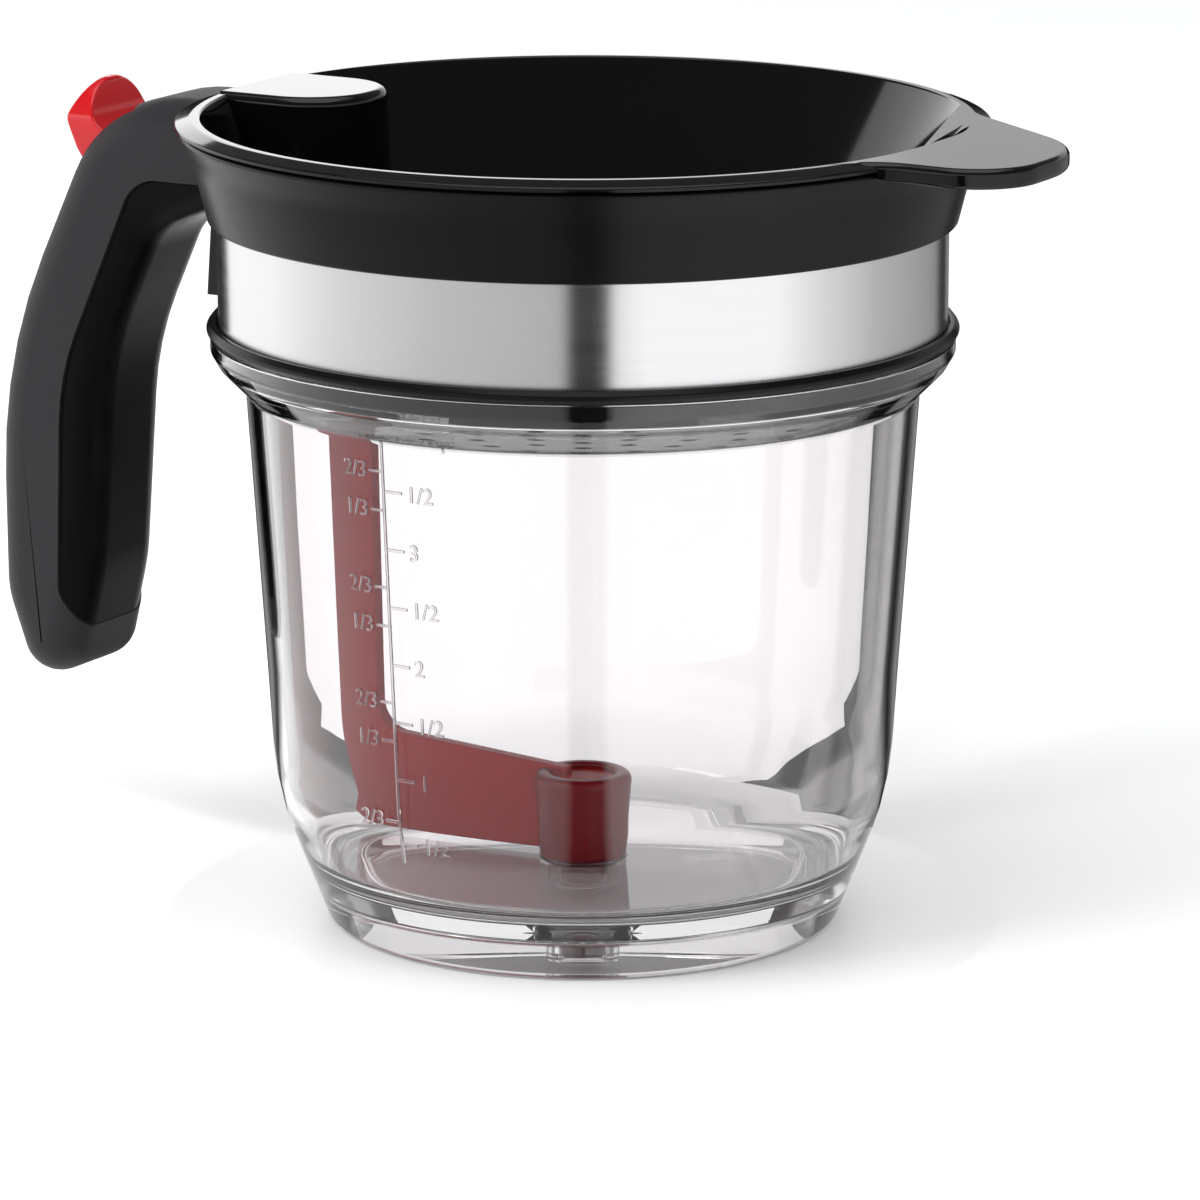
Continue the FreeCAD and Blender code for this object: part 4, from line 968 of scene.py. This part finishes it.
# %% [markdown]
# ## Lift arm and plug
#
# The lift arm is a flat red moulding three millimetres thick: a hook over the
# lever's peg, an upright that follows the jug's wall, and a blade along the floor
# to a round hub.  Its edges are lightly rounded, as a mould leaves them.  The
# plug is turned: a sleeve over the hub, a cone for the seat and a nose that hangs
# in the outlet, slotted where the blade goes in.

# %% Lift arm and plug
ARM_THICK = 3
HUB_RADIUS = 6.2
BLADE_LOW = 12.9
PLUG_TOP = 27.8
NOTCH_RADIUS = 2.05

lift_arm = as_object("lift_arm_moulding", slab([
    (-57.6, 144.6, 1.5),
    (-48.4, 144.6, 1.5),
    (-47.2, 104, 40),
    (-45.6, 30.7, 6),
    (-HUB_RADIUS / 2, 28.2),
    (-HUB_RADIUS / 2, BLADE_LOW),
    (-49.6, BLADE_LOW, 7),
    (-54.6, 28, 30),
    (-57.9, 104, 60),
], ARM_THICK))
combine(lift_arm, slab([
    (-62.6, 137.9), (-50.4, 137.9, NOTCH_RADIUS), (-50.4, 142.1, NOTCH_RADIUS), (-62.6, 142.1),
], ARM_THICK + 2), "DIFFERENCE")
round_sharp_edges(lift_arm, 0.45)
combine(lift_arm, turned([
    (0, BLADE_LOW), (HUB_RADIUS, BLADE_LOW), (HUB_RADIUS, PLUG_TOP - 1, 0.5), (0, PLUG_TOP - 1),
], 96), "UNION")
dress(lift_arm, arm_red_painted_shade, "lift", "red_plastic", "lift_arm")

plug = as_object("soft_plug", turned([
    (0, 2.45),
    (4.2, 2.45, 1.4),
    (4.2, 7.45, 0.3),
    (8.2, 11.95, 0.8),
    (9.5, PLUG_TOP, 1.6),
    (HUB_RADIUS, PLUG_TOP, 0.8),
    (HUB_RADIUS, BLADE_LOW),
    (0, BLADE_LOW),
], 128))
combine(plug, slab([
    (-15, BLADE_LOW), (-HUB_RADIUS / 2, BLADE_LOW), (-HUB_RADIUS / 2, 33), (-15, 33),
], ARM_THICK), "DIFFERENCE")
dress(plug, plug_red, "lift", "red_silicone", "plug")

# %% [markdown]
# ## Strainer lid
#
# The lid is a glossy funnel with a flat perforated floor.  It has a thumb tab
# opposite the handle, with a straight inner edge and a shallow dimple beside it,
# and a cover in the bowl that hides the top of the lift arm.  Its parts are made
# one by one and joined: the turned bowl, the flat tab, and the cover, whose sides
# lean outwards towards the floor so that it leaves the mould.

# %% Lid bowl and tab
RIM_RADIUS = 76.7
RIM_TOP = 154.9
RIM_LOW = 153.3
LID_FOOT = 152.7
MOUTH = 71.9
CREST = 73.6
BOWL_LOW = 116
LID_FLOOR = 118
BOWL_RADIUS = 72.4
BOWL_FLOOR_RADIUS = 57.6

lid = as_object("strainer_lid_moulding", turned([
    (0, BOWL_LOW),
    (BOWL_FLOOR_RADIUS, BOWL_LOW, 5),
    (BOWL_RADIUS, LID_FOOT),
    (75.2, LID_FOOT, 0.2),
    (75.2, RIM_LOW),
    (RIM_RADIUS, RIM_LOW, 0.15),
    (RIM_RADIUS, 153.9, 0.5),
    (CREST, RIM_TOP, 2.5),
    (MOUTH, RIM_TOP, 0.6),
    (56.25, LID_FLOOR, 6),
    (0, LID_FLOOR),
]))

TAB_TOP = RIM_TOP + 0.04
tab_low = RIM_TOP - 3.8
tab = plate([
    (72.3, -1),
    (72, -14),
    (67.2, -27.6),
    (72.5, -20.5, 12),
    (99.2, -21.8, 13),
    (99.2, 12.8, 28),
    (65.6, 35.4),
    (56.6, 44.6),
], tab_low, TAB_TOP)


def level_edge(edge):
    """True on an edge of the tab's top or underside, apart from its roots in the rim."""
    first, last = (vert.co / MM for vert in edge.verts)
    in_rim = max(first.xy.length, last.xy.length) < 74.8
    return abs(first.z - last.z) < 0.01 and not in_rim


TAB_START = RIM_RADIUS + 0.02
soften(tab, 1.3, level_edge, 5)
lid_tab = as_object("lid_tab", tab)
combine(lid_tab, turned([
    (50, 100), (TAB_START, 100), (TAB_START, 153.5), (74, 153.5), (74, 153.9), (50, 153.9),
]), "DIFFERENCE")
print("tab from", round(tab_low, 2), "to", round(TAB_TOP, 2), "mm above the table")

# %% [markdown]
# The cover is bridged between two outlines of the same shape: a small one at its
# top and a larger one at the floor of the bowl.  The hollow inside it is made the
# same way, one wall smaller, and cut out after the parts are joined.

# %% Lid cover
COVER_TOP = 155.3
COVER_HALF = 14.4
COVER_END = -46
COVER_CORNER = 13.6
COVER_LEAN = math.tan(math.radians(2.5))


def leaning_block(half, end, corner, low, high):
    """A block whose sides lean outwards below its top."""
    bm = bmesh.new()
    rings = []
    for height in (high, low):
        spread = (high - height) * COVER_LEAN
        face = outline(bm, [
            (-BOWL_RADIUS - spread, -half - spread),
            (end + spread, -half - spread, corner + spread),
            (end + spread, half + spread, corner + spread),
            (-BOWL_RADIUS - spread, half + spread),
        ], plan_at(height))
        rings.append(list(face.edges))
    bmesh.ops.bridge_loops(bm, edges=rings[0] + rings[1])
    tidy(bm)
    return bm


def on_top(edge):
    """True on the edges of the cover's top."""
    high = all(abs(vert.co.z / MM - COVER_TOP) < 0.01 for vert in edge.verts)
    return high and max(vert.co.x for vert in edge.verts) > -BOWL_RADIUS * MM + WELD


cover = leaning_block(COVER_HALF, COVER_END, COVER_CORNER, BOWL_LOW, COVER_TOP)
soften(cover, 1.8, on_top, 6)
combine(lid, cover, "UNION")
combine(lid, lid_tab, "UNION")
COVER_WALL = 1.5
room = leaning_block(
    COVER_HALF - COVER_WALL, COVER_END - COVER_WALL, COVER_CORNER - COVER_WALL,
    BOWL_LOW - 5, COVER_TOP - 2,
)
combine(lid, room, "DIFFERENCE")
print("lid so far:", len(lid.data.polygons), "faces")

# %% [markdown]
# The sieve is one hole in the middle and four rings of 6, 12, 18 and 24 holes.
# All the punches are made in one mesh, so the floor is cut once.

# %% Sieve and dimple
HOLE_RADIUS = 1.7
RING_PITCH = 10

punches = bmesh.new()
for ring_number in range(5):
    holes = max(1, 6 * ring_number)
    for number in range(holes):
        angle = math.tau * number / holes
        place = Vector((math.cos(angle), math.sin(angle), 0)) * RING_PITCH * ring_number * MM
        punch = bmesh.ops.create_cone(
            punches, cap_ends=True, segments=24, radius1=HOLE_RADIUS * MM, radius2=HOLE_RADIUS * MM,
            depth=8 * MM,
        )["verts"]
        bmesh.ops.translate(punches, verts=punch, vec=place + Vector((0, 0, BOWL_LOW + 1)) * MM)
combine(lid, punches, "DIFFERENCE")
dimple = bmesh.new()
low_face = outline(dimple, [(71.3, 5.5), (70.9, 16, 30), (67.4, 27.5)], plan_at(RIM_TOP - 1.4))
high_face = outline(dimple, [(72.4, 1), (72.4, 17, 30), (66.3, 30.5)], plan_at(RIM_TOP + 0.5))
bmesh.ops.bridge_loops(dimple, edges=list(low_face.edges) + list(high_face.edges))
tidy(dimple)
combine(lid, dimple, "DIFFERENCE")
dress(lid, black_gloss, "lid", "black_gloss", "strainer_lid")

# %% [markdown]
# ## Return spring
#
# A coil of round wire stands in a bore under the lever's rear.  It is a small
# circle, spun and raised a little at each step.  When the lever tips, its rear
# comes down on the coil.

# %% Return spring
SPRING_PLACE = -98.5
SPRING_SEAT = 126.5
SPRING_RADIUS = 3
WIRE_RADIUS = 0.35
SPRING_RISE = 9.5
SPRING_TURNS = 3.96
SPRING_STEPS = 96

wire = bmesh.new()
loop = bmesh.ops.create_circle(wire, segments=12, radius=WIRE_RADIUS * MM)["verts"]
bmesh.ops.rotate(wire, verts=loop, cent=(0, 0, 0), matrix=Matrix.Rotation(math.pi / 2, 3, "X"))
wire_start = side_view(SPRING_PLACE + SPRING_RADIUS, SPRING_SEAT + WIRE_RADIUS)
bmesh.ops.translate(wire, verts=loop, vec=wire_start)
bmesh.ops.spin(
    wire, geom=wire.verts[:] + wire.edges[:], cent=side_view(SPRING_PLACE, 0), axis=(0, 0, 1),
    dvec=(0, 0, SPRING_RISE / SPRING_STEPS * MM), angle=SPRING_TURNS * math.tau, steps=SPRING_STEPS,
)
bmesh.ops.holes_fill(wire, edges=[edge for edge in wire.edges if edge.is_boundary])
tidy(wire)
spring = as_object("coil_spring", wire)
dress(spring, steel_plain, "vessel", "hardware_steel", "return_spring")
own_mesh(spring)

# %% [markdown]
# ## Pieces kept from the CAD model
#
# The screws, the lever's pin and the seal are right as they are, so only their
# material changes.

# %% Small parts
SMALL_PARTS = {"handle_screws": steel_plain, "lever_pin": steel_plain, "collar_seal": seal_white}

for name, material in SMALL_PARTS.items():
    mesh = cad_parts[name].data
    mesh.materials.clear()
    mesh.materials.append(material)
    print(name, "gets", material.name)

# %% [markdown]
# ## Floor and camera
#
# The floor is a wide white sheet.  The camera stands 30 degrees round from the
# side view and looks down at the jug by nearly 13 degrees, from far enough away
# that upright edges stay nearly parallel.  Its lens follows from the scale wanted
# at the jug's axis, in pixels to a millimetre, and a shift moves the jug in the
# frame without turning the camera.

# %% Floor
FLOOR_HALF = 6  # metres

floor_paint, tree = new_material("floor_paint")
soft = grain(tree, 60, 1)
output(tree, add(tree, "ShaderNodeBsdfPrincipled", {
    "Base Color": tint(tree, soft, "#f1f1f1", "#f3f3f3"), "Roughness": 0.5,
}))
floor_mesh = bmesh.new()
bmesh.ops.create_grid(floor_mesh, x_segments=1, y_segments=1, size=FLOOR_HALF)
floor = as_object("floor", floor_mesh)
floor.data.materials.append(floor_paint)
print("floor:", 2 * FLOOR_HALF, "m wide")

# %% Camera
LOOK_HEIGHT = 80
AZIMUTH = 30
ELEVATION = 12.588
DISTANCE = 1247.5
FRAME_PIXELS = 1200
PIXELS_PER_MM = 5.26
SHIFT_RIGHT, SHIFT_UP = 17.03, -96.91  # pixels


def direction(azimuth, elevation):
    """The way from the jug to a camera or a lamp, by degrees from -Y and from level."""
    a, e = math.radians(azimuth), math.radians(elevation)
    return Vector((math.sin(a) * math.cos(e), -math.cos(a) * math.cos(e), math.sin(e)))


camera_data = bpy.data.cameras.new("camera")
camera = bpy.data.objects.new("camera", camera_data)
bpy.context.scene.collection.objects.link(camera)
back = direction(AZIMUTH, ELEVATION)
camera.location = (Vector((0, 0, LOOK_HEIGHT)) + back * DISTANCE) * MM
camera.rotation_euler = (-back).to_track_quat("-Z", "Y").to_euler()
camera_data.sensor_width = 36
camera_data.lens = camera_data.sensor_width * PIXELS_PER_MM * DISTANCE / FRAME_PIXELS
camera_data.shift_x = SHIFT_RIGHT / FRAME_PIXELS
camera_data.shift_y = SHIFT_UP / FRAME_PIXELS
bpy.context.scene.camera = camera
print("lens", round(camera_data.lens, 2), "mm")

# %% [markdown]
# ## Light
#
# Clear plastic, steel and gloss black are mostly reflections, so they are lit in
# two ways.  Two wide softboxes at the sides light the floor and the pieces, and
# are hidden from reflections.  A third one overhead is seen in them.  A pale even
# sky fills the shadows.

# %% Lights
def softbox(name, azimuth, elevation, distance, width, height, power, seen=False):
    """A rectangular light that faces the jug, seen in its gloss or not."""
    light = bpy.data.lights.new(name, "AREA")
    light.shape = "RECTANGLE"
    light.size, light.size_y = width, height
    light.energy = power
    lamp = bpy.data.objects.new(name, light)
    bpy.context.scene.collection.objects.link(lamp)
    way = direction(azimuth, elevation)
    lamp.location = Vector((0, 0, AIM)) + way * distance
    lamp.rotation_euler = (-way).to_track_quat("-Z", "Y").to_euler()
    lamp.visible_camera = False
    lamp.visible_glossy = seen
    print(f"{name}: {power} W from {azimuth} degrees")


AIM = 0.09  # metres above the floor, about the middle of the jug
SIDE_BOX = {"elevation": 30, "distance": 1.6, "width": 0.9, "height": 1.2}
TOP_BOX = {"elevation": 80, "distance": 1.7, "width": 1.6, "height": 1.6}

softbox("softbox_left", azimuth=-35, power=18, **SIDE_BOX)
softbox("softbox_right", azimuth=88, power=5, **SIDE_BOX)
softbox("overhead", azimuth=30, power=10, seen=True, **TOP_BOX)

world = bpy.data.worlds.new("studio")
world.use_nodes = True
world.node_tree.nodes.clear()
sky = add(world.node_tree, "ShaderNodeBackground", {"Color": linear("#f4f5f6"), "Strength": 1.0})
add(world.node_tree, "ShaderNodeOutputWorld", {"Surface": sky.outputs[0]})
bpy.context.scene.world = world
bpy.context.scene.view_settings.view_transform = "Standard"

# %% [markdown]
# ## Paper cards
#
# What the pieces reflect is a ring of paper cards close round the jug: bright at
# both sides, with a dark strip under the camera that draws the stripe down the
# steel band, and black at its two ends, which draws the edges of the clear wall.
# The ring is open behind, so the wall shows the floor through it.
#
# A wider ring and a ceiling stand further out and are seen only in gloss.  Each
# list gives the degrees from the camera and the brightness there.

# %% Cards
CARDS = [
    (-156, 0.02), (-151, 0.02), (-149, 0.3), (-142, 0.3), (-140, 0.02), (-134, 0.02), (-130, 1.3),
    (-96, 1.3), (-70, 0.95), (-40, 0.72), (-5, 0.6),
    (-3, 0.02), (6, 0.02), (8, 1.1), (16, 1.35), (52, 1.35), (66, 1.0), (90, 0.6), (126, 0.35),
    (132, 0.02), (141, 0.02), (143, 0.3), (149, 0.3), (151, 0.02), (156, 0.02),
]
CARD_SIDE = [(80, 0.4), (200, 0.4), (200, 175)]
BACK_CARDS = [(-180, 2), (-176, 2.3), (-120, 2.3), (120, 0.6), (173, 0.9), (176, 1.5), (180, 2)]
BACK_SIDE = [(900, 0), (900, 480)]
CEILING = [(-180, 0.16), (180, 0.16)]
CEILING_SIDE = [(1400, 520), (900, 1400)]


def card_paper(name, cards):
    """Paper whose brightness follows the angle from the camera round the jug."""
    paper, tree = new_material(name)
    place = add(tree, "ShaderNodeTexCoord")
    turn = add(tree, "ShaderNodeMapping", {"Vector": place.outputs["Object"]})
    turn.inputs["Rotation"].default_value = (0, 0, math.radians(90 - AZIMUTH))
    round_jug = add(
        tree, "ShaderNodeTexGradient", {"Vector": turn.outputs[0]}, gradient_type="RADIAL",
    )
    ramp = add(tree, "ShaderNodeValToRGB", {"Fac": round_jug.outputs["Fac"]})
    stops = ramp.color_ramp.elements
    stops.remove(stops[1])
    stops[0].position = 0
    stops[0].color = (cards[0][1], cards[0][1], cards[0][1], 1)
    for angle, bright in cards:
        stop = stops.new(0.5 + angle / 360)
        stop.color = (bright, bright, bright, 1)
    output(tree, add(tree, "ShaderNodeEmission", {"Color": ramp.outputs["Color"], "Strength": 1.0}))
    return paper


def card_ring(name, cards, side, hidden):
    """Cards round the jug, drawn in side view as (radius, height) points."""
    bm = bmesh.new()
    first, last = (math.radians(cards[end][0] - 90 + AZIMUTH) for end in (0, -1))
    way = Vector((math.cos(first), math.sin(first), 0))
    corners = [bm.verts.new((way * radius + Vector((0, 0, height))) * MM) for radius, height in side]
    edges = [bm.edges.new(pair) for pair in zip(corners, corners[1:])]
    bmesh.ops.spin(bm, geom=[*corners, *edges], axis=(0, 0, 1), angle=last - first, steps=96)
    ring = as_object(name, bm)
    ring.data.materials.append(card_paper(name + "_paper", cards))
    for sight in hidden:
        setattr(ring, "visible_" + sight, False)
    print(f"{name}: {len(cards)} steps of brightness")


UNSEEN = ("camera", "diffuse", "shadow", "volume_scatter")
card_ring("reflection_cards", CARDS, CARD_SIDE, UNSEEN)
card_ring("back_cards", BACK_CARDS, BACK_SIDE, (*UNSEEN, "transmission"))
card_ring("ceiling_card", CEILING, CEILING_SIDE, (*UNSEEN, "transmission"))
